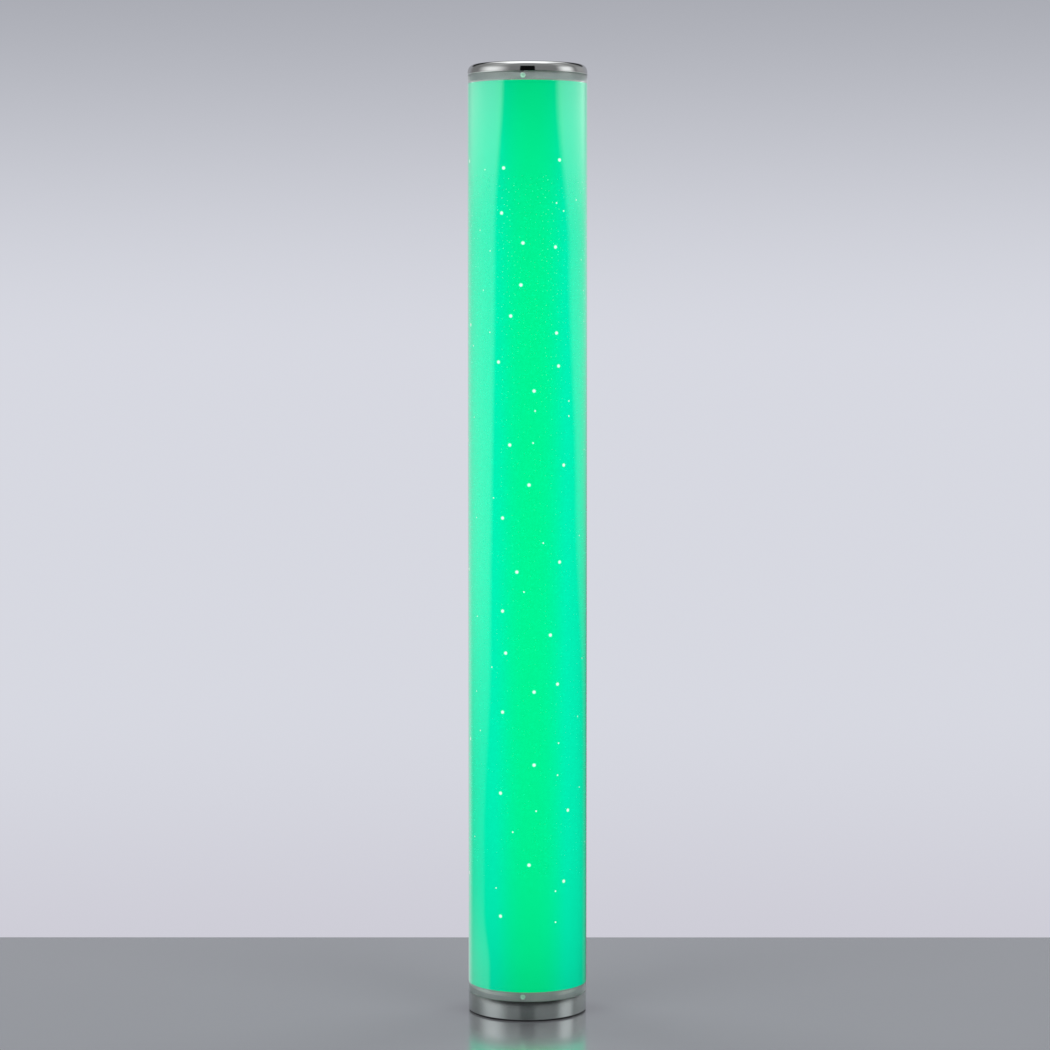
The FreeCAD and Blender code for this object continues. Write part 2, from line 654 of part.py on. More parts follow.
def make_tube_screws(label, height):
    """Three slotted screws whose heads sit in the tube's holes and bear on the collar behind."""
    body = new_body(label, height, FRONT)
    flush = "sqrt(tube_radius * tube_radius - tube_screw_head_radius * tube_screw_head_radius)"
    sketch = new_sketch(body, "XZ_Plane")
    outline(sketch, [
        (f"{PLUG_RADIUS} - tube_screw_length", "0"), (flush, "0"), (flush, "tube_screw_head_radius"),
        (PLUG_RADIUS, "tube_screw_head_radius"), (PLUG_RADIUS, "tube_screw_radius"),
        (f"{PLUG_RADIUS} - tube_screw_length", "tube_screw_radius"),
    ])
    screw = turned(body, "Revolution", sketch, "H_Axis")
    slot = new_sketch(body, "YZ_Plane", "tube_radius")
    rectangle(slot, "0 - drive_slot_width / 2", "drive_slot_width / 2",
              "0 - 0.75 * tube_screw_head_radius", "0.75 * tube_screw_head_radius")
    drive = pocket(body, slot, "0.3 * tube_wall")
    repeated(body, [screw, drive], SCREW_COUNT)
    return body


# ------------------------------------------------------------------------------------ tube, film and cap

def make_outer_tube():
    """Clear acrylic tube with three screw holes near each end."""
    body = ring("outer_tube", [
        (TUBE_BORE, "0"), ("tube_radius", "0"), ("tube_radius", "tube_length"), (TUBE_BORE, "tube_length"),
    ], TUBE_BOTTOM, FRONT)
    sketch = new_sketch(body, "YZ_Plane", f"{TUBE_BORE} - 1")
    for height in ("band_height / 2", "tube_length - band_height / 2"):
        circle(sketch, "0", height, "tube_screw_head_radius + head_clearance")
    holes = pocket(body, sketch, "tube_wall + 2", along_normal=True)
    repeated(body, [holes], SCREW_COUNT)
    return body


def make_star_film():
    """Opal film rolled inside the tube from collar to collar, with its butt seam at the back."""
    body = new_body("star_film", f"{TUBE_BOTTOM} + band_height", REAR)
    add_film_layer(body, FILM_BORE, FILM_RADIUS, "360 - film_gap_angle", "film_gap_angle / 2")
    return body


def make_seam_tape():
    """Clear tape inside the film, across its seam."""
    body = new_body("film_seam_tape", f"{TUBE_BOTTOM} + band_height", REAR)
    outer = f"({FILM_BORE} - tape_clearance)"
    add_film_layer(body, f"{outer} - tape_thick", outer, "tape_angle", "0 - tape_angle / 2")
    return body


def add_film_layer(body, inner, outer, angle, start):
    """A part ring as high as the film, from start degrees round by angle."""
    height = "tube_length - 2 * band_height"
    sketch = new_sketch(body, "XZ_Plane")
    rectangle(sketch, inner, outer, "0", height)
    turned(body, "Revolution", sketch, "V_Axis", angle)
    doc.recompute()
    body.Placement.Rotation = Rotation(Vector(0, 0, 1), REAR + number(start))


def make_top_cap():
    """Spun metal cap with a domed edge, bevelled inside, and three welded studs."""
    bevel = "0.6 * cap_edge_round"
    body = ring("top_cap", [
        ("0", "cap_height - cap_wall"), (f"{CAP_BORE} - {bevel}", "cap_height - cap_wall"),
        (CAP_BORE, f"cap_height - cap_wall - {bevel}"), (CAP_BORE, "0"),
        ("tube_radius", "0"), ("tube_radius", "cap_height"), ("0", "cap_height"),
    ], CAP_BOTTOM, FRONT)
    outer, top = number("tube_radius"), number("cap_height")
    rounded_edges(body, lambda edge: is_circle_at(edge, outer, top), "cap_edge_round")
    sketch = new_sketch(body, "XY_Plane", "cap_height - cap_wall")
    circle(sketch, BOLT_CIRCLE, "0", "stud_radius")
    stud = pad(body, sketch, "cap_height - cap_wall + web_thick + stud_nut_height + thread_stand",
               downwards=True)
    repeated(body, [stud], SCREW_COUNT)
    return body


# -------------------------------------------------------------------------------------------- the LED core

def make_core_profile():
    """Six-sided aluminium tube that carries the LED strips, with screw holes and two lead slots."""
    body = new_body("core_profile", WEB_TOP, FRONT)
    sketch = new_sketch(body, "XY_Plane")
    hexagon(sketch, "core_flat_radius")
    hexagon(sketch, CORE_BORE)
    pad(body, sketch, CORE_LENGTH)
    holes = new_sketch(body, "YZ_Plane")
    circle(holes, "0", "spigot_height / 2", "core_screw_radius + screw_clearance")
    screws = pocket(body, holes, "core_flat_radius + 1", along_normal=True)
    repeated(body, [screws], 2)
    leads = new_sketch(body, "YZ_Plane")
    for middle, lead, above in (("0 - lead_offset", "feed_lead", "lead_bend"),
                                ("lead_offset", "eye_lead", "0")):
        half_width = f"({lead}_width / 2 + lead_clearance)"
        half_thick = f"({lead}_thick / 2 + lead_clearance)"
        rectangle(leads, f"{middle} - {half_width}", f"{middle} + {half_width}",
                  f"lead_slot_rise - {half_thick}", f"lead_slot_rise + {half_thick} + {above}")
    pocket(body, leads, "core_flat_radius + 1", along_normal=True)
    doc.recompute()
    return body


def make_core_screws():
    """Two pan-head screws, front and back, that fix the foot of the core to the lower collar's spigot."""
    body = new_body("core_screws", f"{WEB_TOP} + spigot_height / 2", FRONT)
    sketch = new_sketch(body, "XZ_Plane")
    face = "core_flat_radius"
    outline(sketch, [
        (f"{face} - core_screw_length", "0"), (f"{face} + core_screw_head_height", "0"),
        (f"{face} + core_screw_head_height", "core_screw_head_radius"),
        (face, "core_screw_head_radius"), (face, "core_screw_radius - screw_clearance"),
        (f"{face} - core_screw_length", "core_screw_radius - screw_clearance"),
    ])
    screw = turned(body, "Revolution", sketch, "H_Axis")
    repeated(body, [screw], 2)
    return body


def round_core(shape, side):
    """A copy of the shape turned round the core to one of its sides."""
    copy = shape.copy()
    copy.rotate(Vector(0, 0, 0), Vector(0, 0, 1), 360 / CORE_SIDES * side)
    return copy


def make_led_strips():
    """Six flexible printed strips, one glued to each side of the core."""
    width, thick = number("strip_width"), number("strip_thick")
    bottom = number(STRIP_BOTTOM)
    length = number(f"{CORE_LENGTH} - strip_start - strip_end")
    strip = Part.makeBox(thick, width, length, Vector(number("core_flat_radius"), -width / 2, bottom))
    strips = [round_core(strip, side) for side in range(CORE_SIDES)]
    return made_shape("led_strips", Part.makeCompound(strips))


def make_led_chips():
    """The light-emitting packages along each strip."""
    side, height, rows = number("chip_side"), number("chip_height"), int(number("chip_rows"))
    first = number(f"{STRIP_BOTTOM} + chip_margin")
    pitch = number(f"({CORE_LENGTH} - strip_start - strip_end - 2 * chip_margin) / (chip_rows - 1)")
    chip = Part.makeBox(height, side, side, Vector(number(STRIP_FACE), -side / 2, first - side / 2))
    chips = []
    for step in range(rows):
        raised = chip.copy()
        raised.translate(Vector(0, 0, step * pitch))
        chips += [round_core(raised, turn) for turn in range(CORE_SIDES)]
    return made_shape("led_chips", Part.makeCompound(chips))


def make_strip_jumpers():
    """Flat links from each strip to the next, round five of the core's six edges."""
    thick, width = number("jumper_thick"), number("jumper_width")
    away = number(f"{STRIP_FACE} + jumper_clearance + jumper_thick / 2")
    half_turn = math.radians(180 / CORE_SIDES)
    reach, start = away * math.tan(half_turn), number("jumper_start")
    corner = Vector(away, reach, 0)
    onwards = Vector(-math.sin(2 * half_turn), math.cos(2 * half_turn), 0)
    points = [Vector(away, start, 0), corner, corner + onwards * (reach - start)]
    jumper = ribbon(points, number("jumper_bend"), width, thick)
    jumper.translate(Vector(0, 0, number(f"{STRIP_BOTTOM} + jumper_rise") + width / 2))
    jumpers = [round_core(jumper, side) for side in range(CORE_SIDES - 1)]
    return made_shape("strip_jumpers", Part.makeCompound(jumpers))


# ------------------------------------------------------------------------- chassis and electronics

def make_chassis():
    """Bent sheet plate inside the core, standing on two feet screwed to the lower collar."""
    back = f"{CHASSIS_FACE} - chassis_thick"
    items = [box("chassis_sheet", (back, "0 - chassis_half_width", WEB_TOP),
                 (CHASSIS_FACE, "chassis_half_width", CHASSIS_TOP))]
    holes = []
    for name, side in (("left", "0 - "), ("right", "")):
        middle = f"{side}{CHASSIS_SCREW_SPREAD}"
        items.append(box(f"chassis_{name}_foot",
                         (CHASSIS_FACE, f"{middle} - chassis_foot_width / 2", WEB_TOP),
                         (f"{CHASSIS_FACE} + chassis_foot_depth", f"{middle} + chassis_foot_width / 2",
                          f"{WEB_TOP} + chassis_thick")))
        holes.append(upright(f"chassis_{name}_hole", "0", middle, f"{WEB_TOP} - 1",
                             "chassis_screw_radius + screw_clearance", "chassis_thick + 2"))
    chassis = cut("chassis_drilled", joined("chassis_bent", items), joined("chassis_holes", holes))
    return turned_to_front(chassis, "chassis_plate")


def make_chassis_screws():
    """Two pan-head screws through the chassis feet into the collar's web."""
    screws = []
    for name, side in (("left", "0 - "), ("right", "")):
        deep = f"{side}{CHASSIS_SCREW_SPREAD}"
        top = f"{WEB_TOP} + chassis_thick"
        head = upright(f"chassis_{name}_head", "0", deep, top, "2 * chassis_screw_radius",
                       "chassis_screw_radius")
        shank = upright(f"chassis_{name}_shank", "0", deep, f"{WEB_TOP} - 0.9 * web_thick",
                        "chassis_screw_radius - screw_clearance", "0.9 * web_thick + chassis_thick + 0.1")
        screws += [head, shank]
    return turned_to_front(joined("chassis_screw_pair", screws), "chassis_screws")


def make_terminal_block():
    """Terminal block for the supply: a moulded body with two poles, each with two clamp towers."""
    front = f"({CHASSIS_FACE} + terminal_depth)"
    items = [box("terminal_body", (CHASSIS_FACE, "0 - terminal_half_width", TERMINAL_BOTTOM),
                 (front, "terminal_half_width", TERMINAL_TOP))]
    holes = []
    for name, side in (("left", "0 - "), ("right", "")):
        deep = f"{side}supply_lead_spread"
        for step, height in enumerate((f"{TERMINAL_BOTTOM} + terminal_height / 4",
                                       f"{TERMINAL_TOP} - terminal_height / 4")):
            items.append(box(f"terminal_{name}_tower_{step}",
                             (front, f"{deep} - tower_side / 2", f"{height} - tower_side / 2"),
                             (f"{front} + tower_height", f"{deep} + tower_side / 2",
                              f"{height} + tower_side / 2")))
        for end, height in (("lower", TERMINAL_BOTTOM), ("upper", f"{TERMINAL_TOP} - lead_socket")):
            holes.append(upright(f"terminal_{name}_{end}_hole", f"{CHASSIS_FACE} + terminal_depth / 2", deep,
                                 height, "supply_lead_radius + lead_clearance", "lead_socket"))
    block = cut("terminal_drilled", joined("terminal_solid", items), joined("terminal_holes", holes))
    return turned_to_front(block, "terminal_block")


def make_supply_leads():
    """Two leads from the terminal block up into the driver."""
    start = f"({TERMINAL_TOP} - lead_socket)"
    leads = [upright(f"supply_lead_{name}", f"{CHASSIS_FACE} + terminal_depth / 2",
                     f"{side}supply_lead_spread", start, "supply_lead_radius", f"{DRIVER_BOTTOM} - {start}")
             for name, side in (("left", "0 - "), ("right", ""))]
    return turned_to_front(joined("supply_lead_pair", leads), "supply_leads")


def make_driver():
    """Closed driver case with an ear at each end that is screwed to the chassis."""
    body = new_body("driver_case", DRIVER_BOTTOM, FRONT)
    case = new_sketch(body, "XY_Plane")
    rectangle(case, CHASSIS_FACE, f"{CHASSIS_FACE} + driver_depth", "0 - driver_half_width",
              "driver_half_width")
    pad(body, case, "driver_height")
    front = number(f"{CHASSIS_FACE} + driver_depth")
    rounded_edges(body, lambda edge: all(abs(v.Point.x - front) < 0.01 for v in edge.Vertexes),
                  "driver_round")
    ears = new_sketch(body, "YZ_Plane", CHASSIS_FACE)
    rectangle(ears, "0 - ear_half_width", "ear_half_width", "0 - ear_height",
              "driver_height + ear_height")
    pad(body, ears, "ear_thick")
    holes = new_sketch(body, "YZ_Plane", CHASSIS_FACE)
    for height in ("0 - ear_height / 2", "driver_height + ear_height / 2"):
        circle(holes, "0", height, "chassis_screw_radius + screw_clearance")
    pocket(body, holes, "ear_thick + 1", along_normal=True)
    doc.recompute()
    return body


def make_driver_screws():
    """Two screws through the driver's ears, set in the chassis plate."""
    screws = []
    for name, height in (("lower", f"{DRIVER_BOTTOM} - ear_height / 2"),
                         ("upper", f"{DRIVER_TOP} + ear_height / 2")):
        screws.append(level(f"driver_{name}_head", f"{CHASSIS_FACE} + ear_thick", "0", height,
                            "1.8 * chassis_screw_radius", "chassis_screw_radius"))
        screws.append(level(f"driver_{name}_shank", f"{CHASSIS_FACE} + 0.05", "0", height,
                            "chassis_screw_radius - screw_clearance", "ear_thick"))
    return turned_to_front(joined("driver_screw_pair", screws), "driver_screws")


def board_corners():
    """The places of the control board's four corner fixings, as (name, deep, height)."""
    return [(f"{side_name}_{end_name}", f"{side}(board_half_width - standoff_inset)", height)
            for side_name, side in (("left", "0 - "), ("right", ""))
            for end_name, height in (("lower", f"{BOARD_BOTTOM} + standoff_inset"),
                                     ("upper", f"{BOARD_BOTTOM} + board_height - standoff_inset"))]


def make_standoffs():
    """Four six-sided posts that hold the control board off the chassis."""
    posts = []
    for name, deep, height in board_corners():
        post = doc.addObject("Part::Prism", f"standoff_{name}")
        post.Polygon = 6
        post.Placement = Placement(Vector(0, 0, 0), Rotation(Vector(0, 1, 0), 90))
        bind(post, "Circumradius", "standoff_radius")
        bind(post, "Height", "standoff_height")
        for axis, formula in zip("xyz", (CHASSIS_FACE, deep, height)):
            bind(post, f"Placement.Base.{axis}", formula)
        posts.append(post)
    return turned_to_front(joined("standoff_set", posts), "board_standoffs")


def board_block(name, middle, half_width, rise, height, depth):
    """A block on the control board's face, centred at middle and rise above the board's lower edge."""
    low = f"({BOARD_BOTTOM} + {rise})"
    return box(name, (BOARD_FACE, f"{middle} - {half_width}", low),
               (f"{BOARD_FACE} + {depth}", f"{middle} + {half_width}", f"{low} + {height}"))


def make_control_board():
    """Colour controller: a printed board with its plug sockets, processor, transistors and capacitors."""
    items = [
        box("board_sheet", (BOARD_BACK, "0 - board_half_width", BOARD_BOTTOM),
            (BOARD_FACE, "board_half_width", f"{BOARD_BOTTOM} + board_height")),
        board_block("board_input", "0", "input_half_width", "0", "socket_height", "socket_depth"),
        board_block("board_feed", "0 - lead_offset", "socket_half_width", "feed_socket_rise",
                    "socket_height", "socket_depth"),
        board_block("board_eye", "lead_offset", "socket_half_width", "eye_socket_rise",
                    "socket_height", "socket_depth"),
        board_block("board_processor", "0 - component_offset", "processor_side / 2", "processor_rise",
                    "processor_side", "processor_thick"),
    ]
    for step in range(TRANSISTOR_COUNT):
        items.append(board_block(f"board_transistor_{step}", "component_offset", "transistor_side / 2",
                                 f"(processor_rise + {step} * transistor_pitch)", "transistor_side",
                                 "transistor_thick"))
    for step in range(CAPACITOR_COUNT):
        height = f"{BOARD_BOTTOM} + capacitor_rise + {step} * capacitor_pitch"
        items.append(level(f"board_capacitor_{step}", BOARD_FACE, "0 - component_offset", height,
                           "capacitor_radius", "capacitor_height"))
    return turned_to_front(joined("board_assembly", items), "controller_board")


def make_output_leads():
    """Two leads from the driver up into the control board's input socket."""
    leads = [upright(f"output_lead_{name}", f"{BOARD_FACE} + socket_depth / 2",
                     f"{side}supply_lead_spread / 2", DRIVER_TOP, "supply_lead_radius",
                     f"{BOARD_BOTTOM} - {DRIVER_TOP}")
             for name, side in (("left", "0 - "), ("right", ""))]
    return turned_to_front(joined("output_lead_pair", leads), "output_leads")


def make_feed_lead():
    """Flat lead from the front strip's pads, in through the core and up to the control board."""
    outside = number(f"{STRIP_FACE} + feed_lead_thick / 2 + jumper_clearance")
    run, slot = number("lead_run"), number(LEAD_SLOT_HEIGHT)
    socket_height = number(f"{BOARD_BOTTOM} + feed_socket_rise + socket_height / 2")
    points = [(outside, number(f"{STRIP_BOTTOM} + feed_lead_end")), (outside, slot), (run, slot),
              (run, socket_height), (number(SOCKET_FACE), socket_height)]
    lead = upright_ribbon(points, number("lead_bend"), number("feed_lead_width"), number("feed_lead_thick"),
                          -number("lead_offset"))
    return made_shape("strip_feed_lead", lead)


def make_remote_eye():
    """Remote-control eye on its own small board, which stands on the collar's front boss."""
    bottom = f"({BASE_TOP} + {PLUG_TOP})"
    board = box("eye_sheet", (f"{EYE_FACE} - eye_board_thick", "0 - eye_board_half_width", bottom),
                (EYE_FACE, "eye_board_half_width", f"{bottom} + eye_board_height"))
    height = f"{bottom} + 0.7 * eye_board_height"
    case = box("eye_case", (EYE_FACE, "0 - eye_radius", f"{height} - eye_radius"),
               (f"{EYE_FACE} + 0.7 * eye_setback", "eye_radius", f"{height} + eye_radius"))
    dome = doc.addObject("Part::Sphere", "eye_dome")
    bind(dome, "Radius", "0.85 * eye_radius")
    for axis, formula in zip("xyz", (f"{EYE_FACE} + 0.1 * eye_setback", "0", height)):
        bind(dome, f"Placement.Base.{axis}", formula)
    return turned_to_front(joined("eye_assembly", [board, case, dome]), "remote_eye")


def make_eye_lead():
    """Flat lead from the remote-control eye, in through the core and up to the control board."""
    slot, run = number(LEAD_SLOT_HEIGHT), number("lead_run")
    socket_height = number(f"{BOARD_BOTTOM} + eye_socket_rise + socket_height / 2")
    points = [(number(f"{EYE_FACE} - eye_board_thick"), slot), (run, slot), (run, socket_height),
              (number(SOCKET_FACE), socket_height)]
    lead = upright_ribbon(points, number("lead_bend"), number("eye_lead_width"), number("eye_lead_thick"),
                          number("lead_offset"))
    return made_shape("eye_lead", lead)


# ---------------------------------------------------------------------------------------------- the lamp

def make_lamp():
    """Every sub-part of the lamp, from the floor up."""
    upper_web = f"{CAP_BOTTOM} - web_thick"
    return [
        make_foot_ring(), make_bottom_plate(), make_plate_screws(), make_base_shell(), make_ballast(),
        make_base_bolts(), make_cable_gland(), make_lower_collar(),
        make_nuts("base_nuts", WEB_TOP, "nut_flats", "nut_height", "bolt_radius + screw_clearance",
                  "washer_radius"),
        make_tube_screws("lower_tube_screws", f"{BASE_TOP} + {SCREW_RISE}"),
        make_outer_tube(), make_star_film(), make_seam_tape(), make_core_profile(),
        make_core_screws(),
        make_led_strips(), make_led_chips(), make_strip_jumpers(), make_chassis(), make_chassis_screws(),
        make_terminal_block(), make_supply_leads(), make_driver(), make_driver_screws(), make_standoffs(),
        make_control_board(), make_output_leads(), make_feed_lead(), make_remote_eye(), make_eye_lead(),
        make_upper_collar(), make_tube_screws("upper_tube_screws", f"{CAP_BOTTOM} - {SCREW_RISE}"),
        make_top_cap(),
        make_nuts("cap_nuts", f"{upper_web} - stud_nut_height", "stud_nut_flats", "stud_nut_height",
                  "stud_radius + screw_clearance"),
    ]


def check_and_write(parts):
    """Stops on any failed object or bad shape, then writes each sub-part's STEP file."""
    doc.recompute()
    failed = [item.Label for item in doc.Objects if {"Invalid", "Error"} & set(item.State)]
    if failed:
        raise RuntimeError(f"failed objects: {failed}")
    for item in doc.Objects:
        if item.TypeId in ("PartDesign::Pocket", "PartDesign::Groove"):
            if item.Shape.Volume > item.BaseFeature.Shape.Volume - 0.01:
                raise RuntimeError(f"{item.Label} cuts nothing")
    for part in parts:
        if part.Shape.isNull() or not part.Shape.isValid() or not part.Shape.Solids:
            raise RuntimeError(f"{part.Label} has no valid shape")
    os.makedirs("parts", exist_ok=True)
    for part in parts:
        part.Shape.exportStep(os.path.join("parts", f"{part.Label}.step"))
        box_size = part.Shape.BoundBox
        print(f"{part.Label}: {len(part.Shape.Solids)} solids, {part.Shape.Volume:.0f} mm3, "
              f"z {box_size.ZMin:.2f} to {box_size.ZMax:.2f}")


check_and_write(make_lamp())
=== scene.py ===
"""Starlight column floor lamp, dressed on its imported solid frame.

A clear acrylic tube stands round an opal film that is lit green from inside and pricked with small bright
stars. Grey collars close the tube, a satin nickel base carries it and a polished domed cap ends it. Lengths
are millimetres in the classes below and metres in Blender; +Z is up and -Y is the lamp's front.
"""
import logging
import math
import random
from abc import ABC, abstractmethod
from dataclasses import dataclass
from enum import Enum
from typing import Any, Optional, Sequence, Union

import bpy
from mathutils import Euler, Matrix, Vector


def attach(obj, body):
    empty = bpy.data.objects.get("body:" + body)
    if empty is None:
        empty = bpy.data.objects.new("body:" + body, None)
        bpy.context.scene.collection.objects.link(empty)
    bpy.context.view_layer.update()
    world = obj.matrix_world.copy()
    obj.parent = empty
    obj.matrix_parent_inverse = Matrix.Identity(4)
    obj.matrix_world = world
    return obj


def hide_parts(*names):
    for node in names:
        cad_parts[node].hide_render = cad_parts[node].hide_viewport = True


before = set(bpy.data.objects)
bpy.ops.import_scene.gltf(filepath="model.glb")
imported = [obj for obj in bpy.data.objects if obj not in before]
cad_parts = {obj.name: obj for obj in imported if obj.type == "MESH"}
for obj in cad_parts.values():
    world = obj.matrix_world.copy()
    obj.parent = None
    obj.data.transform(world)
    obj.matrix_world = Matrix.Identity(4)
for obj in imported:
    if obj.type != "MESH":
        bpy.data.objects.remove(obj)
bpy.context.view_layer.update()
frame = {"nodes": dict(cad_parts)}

log = logging.getLogger("starlight_column")
MM = 0.001
Point = tuple[float, float]
Colour = tuple[float, float, float]


# ------------------------------------------------------------------------------------------ named choices

class Slot(str, Enum):
    """The record's material slots."""
    FOOT_FOAM = "foot_foam"
    ZINC_PLATE = "zinc_plate"
    NICKEL_SHELL = "nickel_shell"
    CAST_BALLAST = "cast_ballast"
    ZINC_SCREW = "zinc_screw"
    BLACK_RUBBER = "black_rubber"
    GREY_COLLAR = "grey_collar"
    CLEAR_SCREW = "clear_screw"
    CLEAR_ACRYLIC = "clear_acrylic"
    STAR_FILM = "star_film"
    CLEAR_TAPE = "clear_tape"
    ALUMINIUM = "extruded_aluminium"
    WHITE_STRIP = "white_strip"
    LED_PACKAGE = "led_package"
    LEAD_BLACK = "lead_black"
    LEAD_RED = "lead_red"
    LEAD_GREY = "lead_grey"
    ZINC_CHASSIS = "zinc_chassis"
    TERMINAL_NYLON = "terminal_nylon"
    DRIVER_WHITE = "driver_white"
    STANDOFF_NYLON = "standoff_nylon"
    BOARD_GREEN = "board_green"
    EYE_BLACK = "eye_black"
    POLISHED_CAP = "polished_cap"


class Grain(Enum):
    """Which way the fine lines of a metal run."""
    ROUND_AXIS = "turned round the lamp's axis"
    UPRIGHT = "drawn along the lamp's axis"
    LEVEL = "rolled across the lamp"


class End(Enum):
    """The two ends of the tube."""
    LOWER = "lower"
    UPPER = "upper"


# --------------------------------------------------------------------------------------------- shader maths

class Sock:
    """One output of a node, with the operators that shader maths needs."""

    def __init__(self, graph: "Graph", output: bpy.types.NodeSocket) -> None:
        """Wraps an output.

        Args:
            graph: the graph that the output's node belongs to.
            output: the node's output socket.
        """
        self.graph = graph
        self.output = output

    def maths(self, operation: str, *values: "Value") -> "Sock":
        """A Math node of the graph on the values."""
        return self.graph.node("ShaderNodeMath", {"operation": operation}, dict(enumerate(values)))

    def __add__(self, other: "Value") -> "Sock":
        """This plus other."""
        return self.maths("ADD", self, other)

    def __radd__(self, other: "Value") -> "Sock":
        """Other plus this."""
        return self.maths("ADD", other, self)

    def __sub__(self, other: "Value") -> "Sock":
        """This less other."""
        return self.maths("SUBTRACT", self, other)

    def __rsub__(self, other: "Value") -> "Sock":
        """Other less this."""
        return self.maths("SUBTRACT", other, self)

    def __mul__(self, other: "Value") -> "Sock":
        """This times other."""
        return self.maths("MULTIPLY", self, other)

    def __rmul__(self, other: "Value") -> "Sock":
        """Other times this."""
        return self.maths("MULTIPLY", other, self)

    def __truediv__(self, other: "Value") -> "Sock":
        """This over other."""
        return self.maths("DIVIDE", self, other)

    def __abs__(self) -> "Sock":
        """This without its sign."""
        return self.maths("ABSOLUTE", self)


Value = Union[float, Sock]
Input = Union[float, Sequence[float], Sock]


class Graph:
    """The nodes of one material or of the world."""

    def __init__(self, tree: bpy.types.NodeTree) -> None:
        """Takes a tree and empties it.

        Args:
            tree: the node tree to fill.
        """
        self.tree = tree
        tree.nodes.clear()

    @staticmethod
    def socket(sockets: Any, key: Union[int, str]) -> bpy.types.NodeSocket:
        """A node's socket by place, identifier or name."""
        if isinstance(key, int):
            return sockets[key]
        return next((one for one in sockets if one.identifier == key), None) or sockets[key]

    def node(self, kind: str, settings: Optional[dict[str, Any]] = None,
             inputs: Optional[dict[Union[int, str], Input]] = None, output: Union[int, str] = 0) -> Sock:
        """Makes one node.

        Args:
            kind: the node's type.
            settings: its properties, set first.
            inputs: values or links of its sockets.
            output: the output to hand on.

        Returns:
            The chosen output.
        """
        made = self.tree.nodes.new(kind)
        for name, value in (settings or {}).items():
            setattr(made, name, value)
        for key, value in (inputs or {}).items():
            socket = self.socket(made.inputs, key)
            if isinstance(value, Sock):
                self.tree.links.new(value.output, socket)
            else:
                socket.default_value = value
        return Sock(self, self.socket(made.outputs, output) if made.outputs else None)

    def place(self, stretch: tuple[float, float, float] = (1.0, 1.0, 1.0)) -> Sock:
        """Object coordinates, stretched along each axis."""
        found = self.node("ShaderNodeTexCoord", output="Object")
        if stretch == (1.0, 1.0, 1.0):
            return found
        return self.node("ShaderNodeMapping", inputs={"Vector": found, "Scale": stretch})

    def split(self, vector: Sock) -> tuple[Sock, Sock, Sock]:
        """The three parts of a vector."""
        parts = self.node("ShaderNodeSeparateXYZ", inputs={0: vector}).output.node
        return tuple(Sock(self, output) for output in parts.outputs)

    def reach(self, across: Sock, deep: Sock) -> Sock:
        """How far a place is from the lamp's axis."""
        level = self.node("ShaderNodeCombineXYZ", {}, {0: across, 1: deep})
        return self.node("ShaderNodeVectorMath", {"operation": "LENGTH"}, {0: level}, "Value")

    def noise(self, vector: Sock, scale: float, detail: float = 3.0, rough: float = 0.5) -> Sock:
        """Soft noise between 0 and 1."""
        return self.node("ShaderNodeTexNoise", {}, {
            "Vector": vector, "Scale": scale, "Detail": detail, "Roughness": rough}, "Fac")

    def cells(self, vector: Sock, scale: float, output: str = "Distance", dimensions: str = "3D") -> Sock:
        """Cell noise at a scale: the distance to a cell's middle, or its random colour."""
        return self.node("ShaderNodeTexVoronoi", {"voronoi_dimensions": dimensions},
                         {"Vector": vector, "Scale": scale}, output)

    def split_colour(self, colour: Sock) -> tuple[Sock, Sock, Sock]:
        """The three parts of a colour."""
        parts = self.node("ShaderNodeSeparateColor", {}, {0: colour})
        return tuple(Sock(self, output) for output in parts.output.node.outputs)

    def step(self, value: Value, low: float, high: float, start: Input = 0.0, end: Input = 1.0) -> Sock:
        """A smooth step from start at low to end at high."""
        return self.node("ShaderNodeMapRange", {"interpolation_type": "SMOOTHSTEP"}, {
            "Value": value, "From Min": low, "From Max": high, "To Min": start, "To Max": end})

    def mixed(self, mask: Value, first: Input, second: Input, blend: str = "MIX") -> Sock:
        """A colour between two, by the mask."""
        both = {"A_Color": first, "B_Color": second}
        for key, value in both.items():
            if not isinstance(value, Sock):
                both[key] = (*value, 1.0)
        return self.node("ShaderNodeMix", {"data_type": "RGBA", "blend_type": blend},
                         {"Factor_Float": mask, **both}, "Result_Color")

    def scaled(self, colour: Input, by: Sock) -> Sock:
        """A colour times a number."""
        return self.mixed(1.0, colour, by, "MULTIPLY")

    def bump(self, height: Sock, distance: float, strength: float = 1.0) -> Sock:
        """A normal from a height between 0 and 1, distance metres deep."""
        return self.node("ShaderNodeBump", {}, {
            "Strength": strength, "Distance": distance, "Height": height})

    def surface(self, **inputs: Input) -> None:
        """Ends a material in a Principled shader; underscores stand for spaces in its sockets' names."""
        values = {}
        for key, value in inputs.items():
            name = key.replace("_", " ")
            flat_colour = name in ("Base Color", "Emission Color") and not isinstance(value, Sock)
            values[name] = (*value, 1.0) if flat_colour else value
        shader = self.node("ShaderNodeBsdfPrincipled", {}, values)
        self.node("ShaderNodeOutputMaterial", {}, {"Surface": shader})


# ----------------------------------------------------------------------------------------------- finishes

@dataclass(frozen=True)
class Finish(ABC):
    """A finish that a slot of the record gets."""
    slot: Slot

    def make(self) -> bpy.types.Material:
        """Makes the finish's material."""
        material = bpy.data.materials.new(f"{self.slot.value}_finish")
        material.use_nodes = True
        self.shade(Graph(material.node_tree))
        return material

    @abstractmethod
    def shade(self, graph: Graph) -> None:
        """Fills the material's nodes."""


